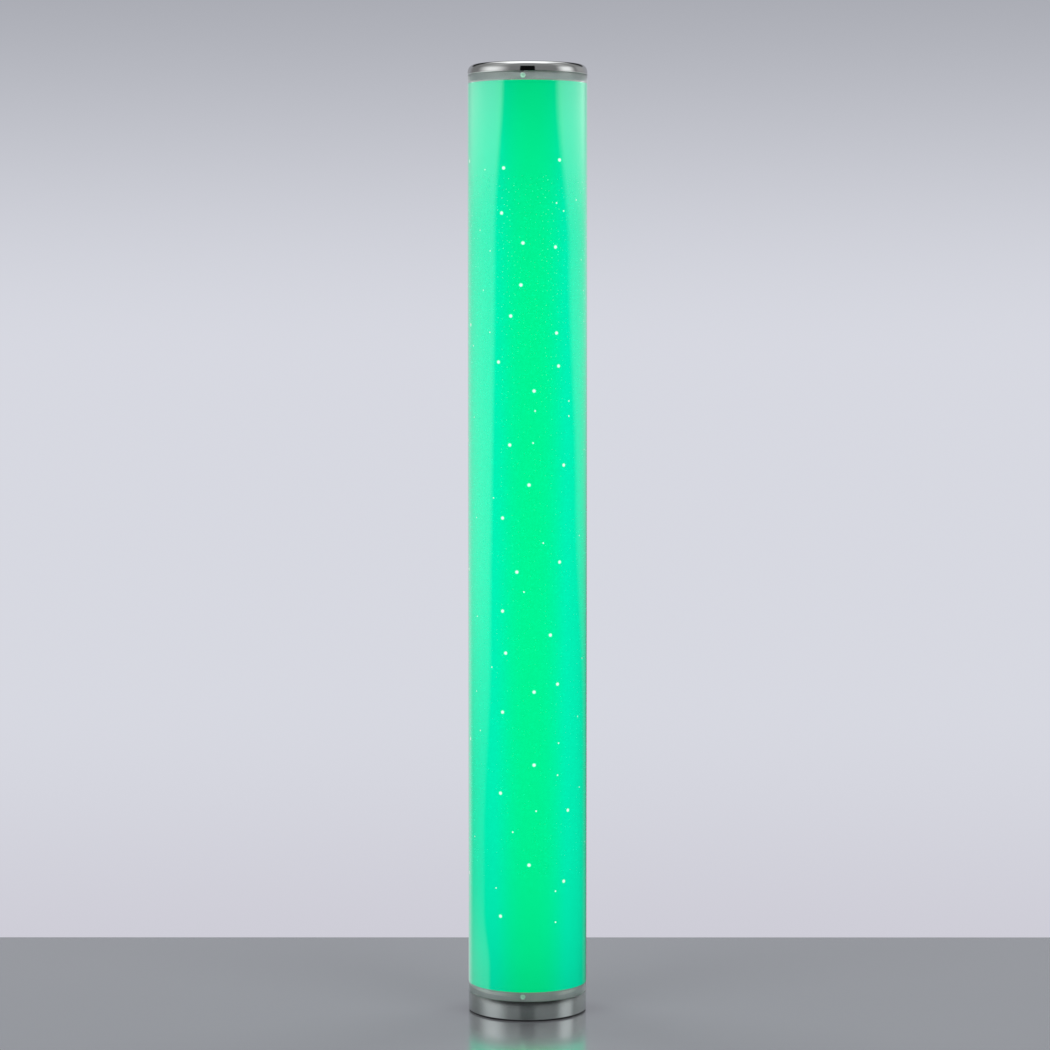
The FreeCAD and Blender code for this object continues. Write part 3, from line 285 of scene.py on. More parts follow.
@dataclass(frozen=True)
class Moulded(Finish):
    """Moulded plastic or rubber: a fine grain, slow flow marks and a slightly uneven gloss."""
    colour: Colour
    roughness: float
    grain: float = 2200.0
    depth: float = 0.00004
    shift: float = 0.12
    coat: float = 0.0

    def shade(self, graph: Graph) -> None:
        """Fills the material's nodes."""
        place = graph.place()
        flow = graph.noise(place, 38.0, 4.0, 0.6)
        grain = graph.noise(place, self.grain, 2.0)
        dust = graph.step(graph.noise(place, 420.0, 5.0, 0.7), 0.62, 0.78)
        tone = graph.mixed(flow, tuple(c * (1 - self.shift) for c in self.colour),
                           tuple(min(1.0, c * (1 + self.shift)) for c in self.colour))
        pale = tuple(c + (0.5 - c) * 0.22 for c in self.colour)
        graph.surface(
            Base_Color=graph.mixed(dust * 0.35, tone, pale),
            Roughness=graph.step(flow, 0.25, 0.75, self.roughness * 0.86, min(1.0, self.roughness * 1.14)),
            Normal=graph.bump(grain, self.depth), Coat_Weight=self.coat, Coat_Roughness=0.12)


@dataclass(frozen=True)
class Drawn(Finish):
    """Metal with fine lines left by spinning, drawing or rolling, and faint handling marks."""
    colour: Colour
    roughness: float
    grain: Grain
    line_pitch: float = 0.35
    depth: float = 0.000004
    spangle: float = 0.0
    smear: float = 0.10

    def line_place(self, graph: Graph) -> Sock:
        """Coordinates in which the lines run across the first axis only."""
        across, deep, up = graph.split(graph.place())
        per_metre = 1.0 / (self.line_pitch * MM)
        if self.grain is Grain.ROUND_AXIS:
            parts = {0: (up + graph.reach(across, deep)) * per_metre, 1: across * 9.0, 2: deep * 9.0}
        elif self.grain is Grain.UPRIGHT:
            parts = {0: across * per_metre, 1: deep * per_metre, 2: up * 6.0}
        else:
            parts = {0: across * 12.0, 1: deep * per_metre, 2: up * per_metre}
        return graph.node("ShaderNodeCombineXYZ", {}, parts)

    def shade(self, graph: Graph) -> None:
        """Fills the material's nodes."""
        place = graph.place()
        lines = graph.noise(self.line_place(graph), 1.0, 2.0, 0.65)
        smears = graph.step(graph.noise(graph.place((1.0, 1.0, 0.45)), 26.0, 5.0, 0.62), 0.42, 0.72)
        flakes, _, _ = graph.split_colour(graph.cells(place, 130.0, "Color"))
        darker = tuple(c * (0.93 - 0.18 * self.spangle) for c in self.colour)
        tone = graph.mixed(flakes * self.spangle + lines * (1 - self.spangle), darker, self.colour)
        graph.surface(
            Base_Color=tone, Metallic=1.0,
            Roughness=lines * (self.roughness * 0.5) + smears * self.smear + self.roughness * 0.72,
            Normal=graph.bump(lines, self.depth))


@dataclass(frozen=True)
class CastIron(Finish):
    """Primed casting: pebbled skin with worn high spots."""
    colour: Colour

    def shade(self, graph: Graph) -> None:
        """Fills the material's nodes."""
        place = graph.place()
        pebble = graph.noise(place, 620.0, 5.0, 0.7)
        wear = graph.step(graph.noise(place, 90.0, 4.0), 0.60, 0.72) * graph.step(pebble, 0.5, 0.62)
        graph.surface(
            Base_Color=graph.mixed(wear, self.colour, (0.22, 0.21, 0.20)),
            Metallic=wear * 0.8, Roughness=0.72 - wear * 0.25, Normal=graph.bump(pebble, 0.00025))


@dataclass(frozen=True)
class ClearAcrylic(Finish):
    """Polished clear acrylic with faint wipe marks and a drift of fine matt specks on its skin."""
    radius: float = 75.0
    speck_pitch: float = 7.0

    def shade(self, graph: Graph) -> None:
        """Fills the material's nodes."""
        wipes = graph.noise(graph.place((1.0, 1.0, 0.18)), 55.0, 5.0, 0.65)
        fine = graph.noise(graph.place((1.0, 1.0, 0.3)), 700.0, 2.0)
        specks = self.specks(graph)
        graph.surface(
            Base_Color=graph.mixed(wipes, (0.985, 1.0, 0.992), (1.0, 1.0, 1.0)),
            Roughness=graph.step(wipes, 0.45, 0.85, 0.004, 0.02) + specks * 0.45,
            Coat_Weight=0.85 - specks * 0.85, Coat_Roughness=0.02, Coat_IOR=1.5,
            Normal=graph.bump(fine, 0.0000008), IOR=1.49, Transmission_Weight=1.0)

    def specks(self, graph: Graph) -> Sock:
        """A mask of fine specks, crowded in drifts and missing near both ends of the tube."""
        across, deep, up = graph.split(graph.place())
        round_way = across.maths("ARCTAN2", across, deep * -1.0) * (self.radius * MM)
        skin = graph.node("ShaderNodeCombineXYZ", {}, {0: round_way, 1: up, 2: 0.0})
        pitch = 1.0 / (self.speck_pitch * MM)
        near = graph.cells(skin, pitch, dimensions="2D")
        pick, size, _ = graph.split_colour(graph.cells(skin, pitch, "Color", "2D"))
        drift = graph.noise(graph.place((1.0, 1.0, 0.55)), 11.0, 3.0, 0.6)
        height = graph.step(up, 0.13, 0.22) * graph.step(up, 1.03, 1.09, 1.0, 0.0)
        crowd = graph.step(up, 0.72, 0.96, 0.75, 1.35)
        chosen = graph.step(drift * crowd - pick * 0.8 - 0.06, 0.0, 0.04)
        reach = size * 0.05 + 0.055
        return graph.step(near / reach, 0.75, 1.25, 1.0, 0.0) * chosen * height


@dataclass(frozen=True)
class StarFilm(Finish):
    """Opal film lit from behind, weaker at both ends: purest green towards the front, painted cooler to the sides,
    a painted colour shift that stands in for the glow seen at a slant.
    """
    core: Colour = (0.0, 0.934, 0.287)
    # painted light: the sides' cooler glow, set by direction round the tube, stands in for the glow seen at a
    # slant
    painted_side_tint: Colour = (0.0, 0.91, 0.485)
    turned: float = 8.4
    body: Colour = (0.0, 0.06, 0.035)
    bottom: float = 36.5
    top: float = 1171.5

    def shade(self, graph: Graph) -> None:
        """Fills the material's nodes."""
        across, deep, up = graph.split(graph.place())
        turn = math.radians(self.turned)
        aside = across * math.cos(turn) + deep * math.sin(turn)
        # painted light: this mask paints the glow cooler towards the sides, a colour shift by direction round the
        # tube that stands in for the glow seen at a slant
        painted_side_mask = graph.step(aside * aside / (across * across + deep * deep), -0.08, 0.42)
        ends = 1.0 - (self.fade(up, self.bottom, 1.0) + self.fade(up, self.top, -1.0)) * 0.295
        mottle = graph.noise(graph.place((1.0, 1.0, 0.4)), 9.0, 2.0) * 0.04 + 0.98
        light = graph.mixed(painted_side_mask, self.core, self.painted_side_tint)
        grain = graph.noise(graph.place(), 900.0, 2.0)
        graph.surface(
            Base_Color=graph.mixed(grain, self.body, tuple(c * 1.4 for c in self.body)),
            Roughness=grain * 0.1 + 0.5, Specular_IOR_Level=0.0,
            Emission_Color=graph.scaled(light, ends * mottle), Emission_Strength=1.0,
            Normal=graph.bump(grain, 0.000006))

    @staticmethod
    def fade(up: Sock, end: float, way: float) -> Sock:
        """How far the light has fallen off near one end of the film, from 1 at the end to 0."""
        past = (up - end * MM) * (way / 0.11)
        return past.maths("EXPONENT", past * -1.0)


@dataclass(frozen=True)
class StarGlow(Finish):
    """A star's light: white in its middle, fading to the film's own green at its rim."""
    middle: Colour = (0.86, 1.0, 0.97)
    rim: Colour = (0.0, 0.93, 0.36)

    def shade(self, graph: Graph) -> None:
        """Fills the material's nodes."""
        glow = graph.node("ShaderNodeAttribute", {"attribute_name": "glow"}, output="Fac")
        sparkle = graph.noise(graph.place(), 1500.0, 2.0)
        lit = graph.mixed(graph.step(glow, 0.10, 0.75), self.rim, self.middle)
        graph.surface(
            Base_Color=(0.0, 0.08, 0.05), Roughness=sparkle * 0.1 + 0.35, Specular_IOR_Level=0.0,
            Emission_Color=graph.scaled(lit, sparkle * 0.1 + 0.97), Emission_Strength=1.0,
            Normal=graph.bump(sparkle, 0.000004))


@dataclass(frozen=True)
class ClearTape(Finish):
    """Clear tape with small trapped bubbles."""

    def shade(self, graph: Graph) -> None:
        """Fills the material's nodes."""
        place = graph.place()
        bubbles = graph.step(graph.cells(place, 260.0), 0.10, 0.22, 1.0, 0.0)
        graph.surface(
            Base_Color=graph.mixed(bubbles, (0.85, 0.88, 0.86), (0.95, 0.96, 0.95)),
            Roughness=bubbles * 0.3 + 0.16, Alpha=bubbles * 0.3 + 0.35,
            Normal=graph.bump(bubbles, 0.00003))


@dataclass(frozen=True)
class WhiteStrip(Finish):
    """White flexible strip with a pair of tinned pads at every cut line."""
    pitch: float = 33.24

    def shade(self, graph: Graph) -> None:
        """Fills the material's nodes."""
        _, _, up = graph.split(graph.place())
        strip = up / (self.pitch * MM)
        along = strip.maths("FRACT", strip)
        pads = graph.step(abs(along - 0.5), 0.045, 0.06, 1.0, 0.0)
        grain = graph.noise(graph.place(), 1400.0, 2.0)
        graph.surface(
            Base_Color=graph.mixed(pads, (0.90, 0.91, 0.88), (0.62, 0.57, 0.42)),
            Metallic=pads * 0.9, Roughness=0.42 - pads * 0.15 + grain * 0.08,
            Normal=graph.bump(grain + pads, 0.00003))


@dataclass(frozen=True)
class LedPackage(Finish):
    """White package whose clear window glows green."""

    def shade(self, graph: Graph) -> None:
        """Fills the material's nodes."""
        across, deep, _ = graph.split(graph.place())
        window = graph.step(graph.reach(across, deep), 0.0396, 0.0399)
        grain = graph.noise(graph.place(), 2600.0, 2.0)
        graph.surface(
            Base_Color=graph.mixed(window, (0.88, 0.89, 0.85), (0.70, 0.85, 0.55)),
            Roughness=0.5 - window * 0.35 + grain * 0.06,
            Emission_Color=graph.mixed(window, (0.0, 0.12, 0.05), (0.05, 1.0, 0.42)),
            Emission_Strength=1.0, Normal=graph.bump(grain, 0.00002))


@dataclass(frozen=True)
class PrintedBoard(Finish):
    """Solder mask over copper tracks, with tinned pads."""

    def shade(self, graph: Graph) -> None:
        """Fills the material's nodes."""
        place = graph.place()
        tracks = graph.node("ShaderNodeTexBrick", {"offset": 0.5}, {
            "Vector": graph.place((1.0, 0.0, 1.0)), "Scale": 160.0, "Mortar Size": 0.035,
            "Mortar Smooth": 0.1}, "Fac")
        pads = graph.step(graph.cells(place, 190.0), 0.14, 0.20, 1.0, 0.0)
        mask = graph.mixed(tracks, (0.012, 0.13, 0.055), (0.03, 0.27, 0.11))
        graph.surface(
            Base_Color=graph.mixed(pads, mask, (0.72, 0.73, 0.72)), Metallic=pads,
            Roughness=0.24 + graph.noise(place, 800.0) * 0.08,
            Normal=graph.bump(tracks * 0.5 + pads, 0.00004), Coat_Weight=0.3)


FINISHES: tuple[Finish, ...] = (
    Moulded(Slot.FOOT_FOAM, (0.012, 0.012, 0.013), 0.92, grain=1500.0, depth=0.0002, shift=0.25),
    Drawn(Slot.ZINC_PLATE, (0.62, 0.64, 0.66), 0.30, Grain.LEVEL, spangle=0.6),
    Drawn(Slot.NICKEL_SHELL, (0.60, 0.64, 0.62), 0.15, Grain.ROUND_AXIS, line_pitch=0.5, smear=0.05),
    CastIron(Slot.CAST_BALLAST, (0.055, 0.055, 0.06)),
    Drawn(Slot.ZINC_SCREW, (0.68, 0.70, 0.72), 0.24, Grain.ROUND_AXIS, spangle=0.2),
    Moulded(Slot.BLACK_RUBBER, (0.02, 0.02, 0.021), 0.62, grain=1800.0),
    Moulded(Slot.GREY_COLLAR, (0.30, 0.33, 0.33), 0.42, grain=1600.0, shift=0.06),
    # painted light: the screws' green is the lamp's own green glow shining through the clear nylon, painted into
    # their colour
    Moulded(Slot.CLEAR_SCREW, (0.30, 0.55, 0.42), 0.34, grain=1400.0, shift=0.05),
    ClearAcrylic(Slot.CLEAR_ACRYLIC),
    StarFilm(Slot.STAR_FILM),
    ClearTape(Slot.CLEAR_TAPE),
    Drawn(Slot.ALUMINIUM, (0.78, 0.79, 0.80), 0.33, Grain.UPRIGHT, line_pitch=0.6),
    WhiteStrip(Slot.WHITE_STRIP),
    LedPackage(Slot.LED_PACKAGE),
    Moulded(Slot.LEAD_BLACK, (0.02, 0.02, 0.022), 0.45),
    Moulded(Slot.LEAD_RED, (0.50, 0.02, 0.02), 0.42),
    Moulded(Slot.LEAD_GREY, (0.30, 0.31, 0.32), 0.48),
    Drawn(Slot.ZINC_CHASSIS, (0.66, 0.67, 0.67), 0.34, Grain.UPRIGHT, spangle=0.7),
    Moulded(Slot.TERMINAL_NYLON, (0.80, 0.81, 0.77), 0.5, shift=0.04),
    Moulded(Slot.DRIVER_WHITE, (0.86, 0.86, 0.84), 0.55, grain=900.0, depth=0.0001, shift=0.03),
    Moulded(Slot.STANDOFF_NYLON, (0.86, 0.86, 0.82), 0.5, shift=0.04),
    PrintedBoard(Slot.BOARD_GREEN),
    Moulded(Slot.EYE_BLACK, (0.012, 0.008, 0.012), 0.12, depth=0.00001, coat=0.5),
    Drawn(Slot.POLISHED_CAP, (0.80, 0.82, 0.82), 0.045, Grain.ROUND_AXIS, line_pitch=1.4,
          depth=0.0000006, smear=0.02),
)


class Palette:
    """Every finish's material, made once, and the dressing of pieces with them."""

    def __init__(self, finishes: Sequence[Finish]) -> None:
        """Makes the materials.

        Args:
            finishes: one finish for each slot.
        """
        self.materials = {finish.slot: finish.make() for finish in finishes}

    def dress(self, piece: bpy.types.Object, slot: Slot) -> None:
        """Gives a piece the slot's material alone."""
        piece.data.materials.clear()
        piece.data.materials.append(self.materials[slot])

    def dress_node(self, node: str, slot: Slot) -> None:
        """Gives a solid of the frame the slot's material."""
        for holder in frame["nodes"][node].material_slots:
            holder.material = self.materials[slot]


# ------------------------------------------------------------------------------------------ modelling bench

@dataclass(frozen=True)
class Corner:
    """A corner of a turned outline: radius and height, and how much it is rounded, in millimetres."""
    radius: float
    height: float
    rounding: float = 0.0


class Bench:
    """Modelling steps that the pieces share."""

    @staticmethod
    def clear() -> None:
        """Deselects everything, in object mode."""
        if bpy.context.mode != "OBJECT":
            bpy.ops.object.mode_set(mode="OBJECT")
        bpy.ops.object.select_all(action="DESELECT")

    @staticmethod
    def outline(corners: Sequence[Corner]) -> list[Point]:
        """The points of a closed outline whose corners are rounded as each one says."""
        points: list[Point] = []
        for index, corner in enumerate(corners):
            here = Vector((corner.radius, corner.height))
            if corner.rounding <= 0:
                points.append((here.x, here.y))
                continue
            before, after = corners[index - 1], corners[(index + 1) % len(corners)]
            back = (Vector((before.radius, before.height)) - here).normalized()
            on = (Vector((after.radius, after.height)) - here).normalized()
            half = back.angle(on) / 2
            centre = here + (back + on).normalized() * (corner.rounding / math.sin(half))
            start = here + back * (corner.rounding / math.tan(half)) - centre
            end = here + on * (corner.rounding / math.tan(half)) - centre
            sweep = start.angle_signed(end)
            steps = max(2, math.ceil(abs(sweep) / math.radians(11)))
            for step in range(steps + 1):
                spoke = start.copy()
                spoke.rotate(Matrix.Rotation(-sweep * step / steps, 2))
                points.append(tuple(centre + spoke))
        return points

    @staticmethod
    def turned(name: str, corners: Sequence[Corner], segments: int = 192, rise: float = 0.0,
               gap: float = 0.0) -> bpy.types.Object:
        """A closed outline turned about the Z axis.

        Args:
            name: the piece's name.
            corners: the outline's corners, in order.
            segments: how many faces go round.
            rise: height added to every corner.
            gap: degrees left open at the back, with both ends closed.

        Returns:
            The piece.
        """
        Bench.clear()
        points = [(r * MM, (z + rise) * MM) for r, z in Bench.outline(corners)]
        here = points[0]
        bpy.ops.mesh.primitive_plane_add(size=0.001, location=(here[0], 0, here[1]))
        bpy.ops.object.mode_set(mode="EDIT")
        bpy.context.tool_settings.mesh_select_mode = (True, False, False)
        bpy.ops.mesh.select_all(action="SELECT")
        bpy.ops.mesh.merge(type="CENTER")
        for point in (*points[1:], points[0]):
            bpy.ops.mesh.extrude_region_move(
                TRANSFORM_OT_translate={"value": (point[0] - here[0], 0, point[1] - here[1])})
            here = point
        bpy.ops.mesh.select_all(action="SELECT")
        bpy.ops.mesh.remove_doubles(threshold=1e-7)
        if gap:
            bpy.ops.mesh.edge_face_add()
            turn = Matrix.Rotation(math.radians(90 - gap / 2), 4, "Z")
            bpy.ops.mesh.select_all(action="SELECT")
            bpy.ops.object.mode_set(mode="OBJECT")
            piece = bpy.context.object
            piece.matrix_world = turn @ piece.matrix_world
            bpy.ops.object.mode_set(mode="EDIT")
        bpy.ops.mesh.select_all(action="SELECT")
        bpy.ops.mesh.spin(steps=segments, angle=math.radians(360 - gap), center=(0, 0, 0), axis=(0, 0, 1))
        bpy.ops.mesh.select_all(action="SELECT")
        bpy.ops.mesh.remove_doubles(threshold=2e-6)
        bpy.ops.mesh.normals_make_consistent(inside=False)
        bpy.ops.object.mode_set(mode="OBJECT")
        return Bench.settled(name)

    @staticmethod
    def settled(name: str, smooth: float = 32.0) -> bpy.types.Object:
        """Names the active object, fixes its place in its mesh and shades it smooth below an angle."""
        piece = bpy.context.object
        piece.name = piece.data.name = name
        Bench.clear()
        piece.select_set(True)
        bpy.context.view_layer.objects.active = piece
        bpy.ops.object.transform_apply(location=True, rotation=True, scale=True)
        bpy.ops.object.shade_smooth_by_angle(angle=math.radians(smooth))
        Bench.clear()
        return piece

    @staticmethod
    def block(name: str, low: Sequence[float], high: Sequence[float], edge: float,
              turn: float = 0.0) -> bpy.types.Object:
        """A block between two corners with bevelled edges, then turned about the Z axis by turn degrees."""
        Bench.clear()
        middle = (Vector(low) + Vector(high)) / 2 * MM
        bpy.ops.mesh.primitive_cube_add(size=1, location=middle)
        piece = bpy.context.object
        piece.scale = (Vector(high) - Vector(low)) * MM
        bpy.ops.object.transform_apply(location=True, rotation=False, scale=True)
        bpy.ops.object.mode_set(mode="EDIT")
        bpy.ops.mesh.select_all(action="SELECT")
        bpy.ops.mesh.bevel(offset=edge * MM, segments=2, affect="EDGES")
        bpy.ops.object.mode_set(mode="OBJECT")
        piece.rotation_euler.z = math.radians(turn)
        return Bench.settled(name)

    @staticmethod
    def pin(name: str, radius: float, low: Sequence[float], high: Sequence[float], sides: int = 48,
            edge: float = 0.0) -> bpy.types.Object:
        """A round pin between two points, with bevelled rims."""
        Bench.clear()
        start, end = Vector(low) * MM, Vector(high) * MM
        along = end - start
        bpy.ops.mesh.primitive_cylinder_add(vertices=sides, radius=radius * MM, depth=along.length)
        if edge:
            bpy.ops.object.mode_set(mode="EDIT")
            bpy.ops.mesh.select_all(action="DESELECT")
            bpy.ops.mesh.edges_select_sharp(sharpness=math.radians(60))
            bpy.ops.mesh.bevel(offset=edge * MM, segments=2, affect="EDGES")
            bpy.ops.object.mode_set(mode="OBJECT")
        piece = bpy.context.object
        piece.matrix_world = (Matrix.Translation((start + end) / 2)
                              @ along.to_track_quat("Z", "Y").to_matrix().to_4x4())
        return Bench.settled(name)

    @staticmethod
    def drilled(piece: bpy.types.Object, cutters: Sequence[bpy.types.Object]) -> bpy.types.Object:
        """Cuts each cutter out of the piece and removes it."""
        for cutter in cutters:
            Bench.clear()
            piece.select_set(True)
            bpy.context.view_layer.objects.active = piece
            cut = piece.modifiers.new("drill", "BOOLEAN")
            cut.operation = "DIFFERENCE"
            cut.solver = "EXACT"
            cut.object = cutter
            bpy.ops.object.modifier_apply(modifier=cut.name)
            bpy.data.objects.remove(cutter)
        bpy.context.view_layer.objects.active = piece
        return Bench.settled(piece.name)

    @staticmethod
    def joined(name: str, pieces: Sequence[bpy.types.Object]) -> bpy.types.Object:
        """One object of several pieces."""
        Bench.clear()
        for piece in pieces:
            piece.select_set(True)
        bpy.context.view_layer.objects.active = pieces[0]
        bpy.ops.object.join()
        return Bench.settled(name)


def thirds() -> tuple[float, float, float]:
    """The directions of the three screws, in degrees: the front and a third of a turn each way."""
    return (-90.0, 30.0, 150.0)


def spot(radius: float, direction: float, height: float) -> tuple[float, float, float]:
    """The point at a radius, a direction in degrees and a height."""
    turn = math.radians(direction)
    return (radius * math.cos(turn), radius * math.sin(turn), height)


def fitted(piece: bpy.types.Object, palette: Palette, slot: Slot, *nodes: str) -> None:
    """Dresses a new piece, rides it on the lamp's body and lets it stand for the nodes it replaces."""
    palette.dress(piece, slot)
    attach(piece, "root")
    if nodes:
        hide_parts(*nodes)
    log.info("%s: %d faces, %s, for %s", piece.name, len(piece.data.polygons), slot.value, nodes or "no node")


# ------------------------------------------------------------------------------------------ the photograph

@dataclass(frozen=True)
class Viewpoint:
    """Where the photograph was taken from."""
    distance: float = 3837.0
    height: float = 887.0
    azimuth: float = 4.5
    pitch: float = 4.0
    yaw: float = 0.047
    lens: float = 104.4
    sensor: float = 36.0
    frame: float = 1050.0

    def position(self) -> Vector:
        """The camera's place, in metres."""
        turn = math.radians(self.azimuth)
        return Vector((math.sin(turn) * self.distance, -math.cos(turn) * self.distance, self.height)) * MM

    def rotation(self) -> Euler:
        """The camera's rotation."""
        return Euler((math.radians(90 - self.pitch), 0.0, math.radians(self.azimuth + self.yaw)))

    def on_cylinder(self, across: float, down: float, radius: float) -> Vector:
        """The point of an upright cylinder round the lamp's axis that a pixel looks at.

        Args:
            across: the pixel's place from the picture's left.
            down: the pixel's place from the picture's top.
            radius: the cylinder's radius in millimetres.

        Returns:
            The point, in metres.
        """
        focal = self.lens / self.sensor * self.frame
        ray = Vector((across - self.frame / 2, self.frame / 2 - down, -focal)).normalized()
        ray.rotate(self.rotation())
        eye = self.position()
        level = ray.x ** 2 + ray.y ** 2
        lean = (eye.x * ray.x + eye.y * ray.y) / level
        gap = (eye.x ** 2 + eye.y ** 2 - (radius * MM) ** 2) / level
        return eye + ray * (-lean - math.sqrt(max(0.0, lean * lean - gap)))


# --------------------------------------------------------------------------------------------- the lamp

@dataclass
class Base:
    """Foam foot, nickel shell and the cable gland in its back."""
    radius: float = 75.0
    foot_outer: float = 73.6
    foot_inner: float = 62.6
    foot_thick: float = 2.0
    shell_height: float = 23.0
    wall: float = 1.2
    mouth: float = 61.0
    gland_height: float = 12.0
    gland_neck: float = 5.0
    gland_bore: float = 3.2

    def build(self, palette: Palette) -> None:
        """Builds the base's pieces."""
        fitted(self.foot(), palette, Slot.FOOT_FOAM, "foot_ring")
        fitted(self.shell(), palette, Slot.NICKEL_SHELL, "base_shell")
        fitted(self.gland(), palette, Slot.BLACK_RUBBER, "cable_gland")

    def foot(self) -> bpy.types.Object:
        """The foam ring that the lamp stands on, with its soft lower edges."""
        return Bench.turned("foot_pad", [
            Corner(self.foot_inner, 0.0, 0.4), Corner(self.foot_outer, 0.0, 0.5),
            Corner(self.foot_outer, self.foot_thick), Corner(self.foot_inner, self.foot_thick)])

    def shell(self) -> bpy.types.Object:
        """The spun shell, with a bevelled shoulder, a rolled lower edge and the gland's hole."""
        top, bore = self.shell_height, self.radius - self.wall
        shell = Bench.turned("spun_shell", [
            Corner(bore, 0.0, 0.25), Corner(self.radius, 0.0, 0.45),
            Corner(self.radius, top + 0.45, 0.3), Corner(self.radius - 1.4, top + 0.45, 0.2),
            Corner(self.radius - 1.4, top, 0.2),
            Corner(self.mouth, top, 0.3), Corner(self.mouth, top - self.wall),
            Corner(bore, top - self.wall, 0.8)], 256, self.foot_thick)
        hole = Bench.pin("gland_drill", self.gland_neck + 0.1, (0, self.radius - 10, self.gland_height),
                         (0, self.radius + 10, self.gland_height), 64)
        return Bench.drilled(shell, [hole])

    def gland(self) -> bpy.types.Object:
        """The rubber grommet: a ringed flange outside the shell, a neck and a tail inside it."""
        face, back = self.radius + 0.2, self.radius - self.wall - 0.6
        bore, neck = self.gland_bore, self.gland_neck
        gland = Bench.turned("cord_grommet", [
            Corner(bore, back - 5.0), Corner(bore, face + 1.6, 0.5), Corner(4.6, face + 1.6, 0.2),
            Corner(4.8, face + 1.3), Corner(5.2, face + 1.3), Corner(5.4, face + 1.5, 0.2),
            Corner(6.2, face + 1.4, 0.3), Corner(7.0, face + 0.7, 0.3), Corner(7.0, face, 0.2),
            Corner(neck, face), Corner(neck, back), Corner(neck + 1.2, back, 0.2),
            Corner(neck - 0.6, back - 5.0, 0.3)], 96)
        gland.matrix_world = (Matrix.Translation((0, 0, self.gland_height * MM))
                              @ Matrix.Rotation(math.radians(-90), 4, "X"))
        bpy.context.view_layer.objects.active = gland
        return Bench.settled("cord_grommet")


@dataclass
class Collar:
    """One moulded collar, whose plug ring shows as the grey band through the clear end of the tube."""
    end: End
    seat: float
    lip_radius: float
    lip_height: float
    plug: float = 71.75
    plug_wall: float = 3.0
    plug_top: float = 11.5
    web: float = 3.0
    flange: float = 74.0
    web_hole: float = 12.0
    bolt_circle: float = 54.0
    bolt: float = 2.75
    pillar_height: float = 10.8

    def build(self, palette: Palette) -> None:
        """Builds the collar and turns the upper one over."""
        name = f"{self.end.value}_moulded_collar"
        parts = [self.ring(), self.lip(), self.spigot(), *self.ribs(), *self.bosses()]
        if self.end is End.UPPER:
            parts += [Bench.pin("pillar", 6.0, spot(self.bolt_circle, way, -self.pillar_height),
                                spot(self.bolt_circle, way, 0.5)) for way in thirds()]
        collar = Bench.joined(name, parts)
        flip = Matrix.Rotation(math.pi, 4, "Y") if self.end is End.UPPER else Matrix.Identity(4)
        collar.matrix_world = Matrix.Translation((0, 0, self.seat * MM)) @ flip
        bpy.context.view_layer.objects.active = collar
        collar = Bench.settled(name)
        fitted(collar, palette, Slot.GREY_COLLAR, f"{self.end.value}_collar")

    def ring(self) -> bpy.types.Object:
        """Web, flange and plug ring in one turned outline, drilled for its bolts."""
        inner = self.plug - self.plug_wall
        ring = Bench.turned("collar_ring", [
            Corner(self.web_hole, 0.0), Corner(self.flange, 0.0, 0.15), Corner(self.flange, 1.0, 0.15),
            Corner(self.plug, 1.0), Corner(self.plug, self.plug_top, 0.35),
            Corner(inner, self.plug_top, 0.35), Corner(inner, self.web, 1.0),
            Corner(self.web_hole, self.web, 0.4)])
        drills = [Bench.pin("bolt_drill", self.bolt, spot(self.bolt_circle, way, -2),
                            spot(self.bolt_circle, way, self.web + 2)) for way in thirds()]
        return Bench.drilled(ring, drills)

    def lip(self) -> bpy.types.Object:
        """The lip that centres the shell or the cap."""
        return Bench.turned("collar_lip", [
            Corner(self.lip_radius - 3, -self.lip_height, 0.2), Corner(self.lip_radius, -self.lip_height, 0.3),
            Corner(self.lip_radius, 0.4), Corner(self.lip_radius - 3, 0.4)])

    def spigot(self) -> bpy.types.Object:
        """The six-sided spigot that the core fits over."""
        outer, inner = (flat / math.cos(math.radians(30)) for flat in (36.25, 33.75))
        return Bench.turned("collar_spigot", [
            Corner(inner, self.web - 0.4), Corner(outer, self.web - 0.4), Corner(outer, self.web + 9, 0.5),
            Corner(inner, self.web + 9, 0.5)], 6)

    def ribs(self) -> list[bpy.types.Object]:
        """Twelve radial ribs from spigot to plug ring."""
        return [Bench.block("collar_rib", (46, -1, self.web - 0.4), (70, 1, self.web + 5), 0.3, 15 + 30 * step)
                for step in range(12)]

    def bosses(self) -> list[bpy.types.Object]:
        """Three bosses behind the tube screws."""
        return [Bench.block("collar_boss", (62.75, -5.5, self.web - 0.4), (70.2, 5.5, self.plug_top - 0.05),
                            0.5, way) for way in thirds()]


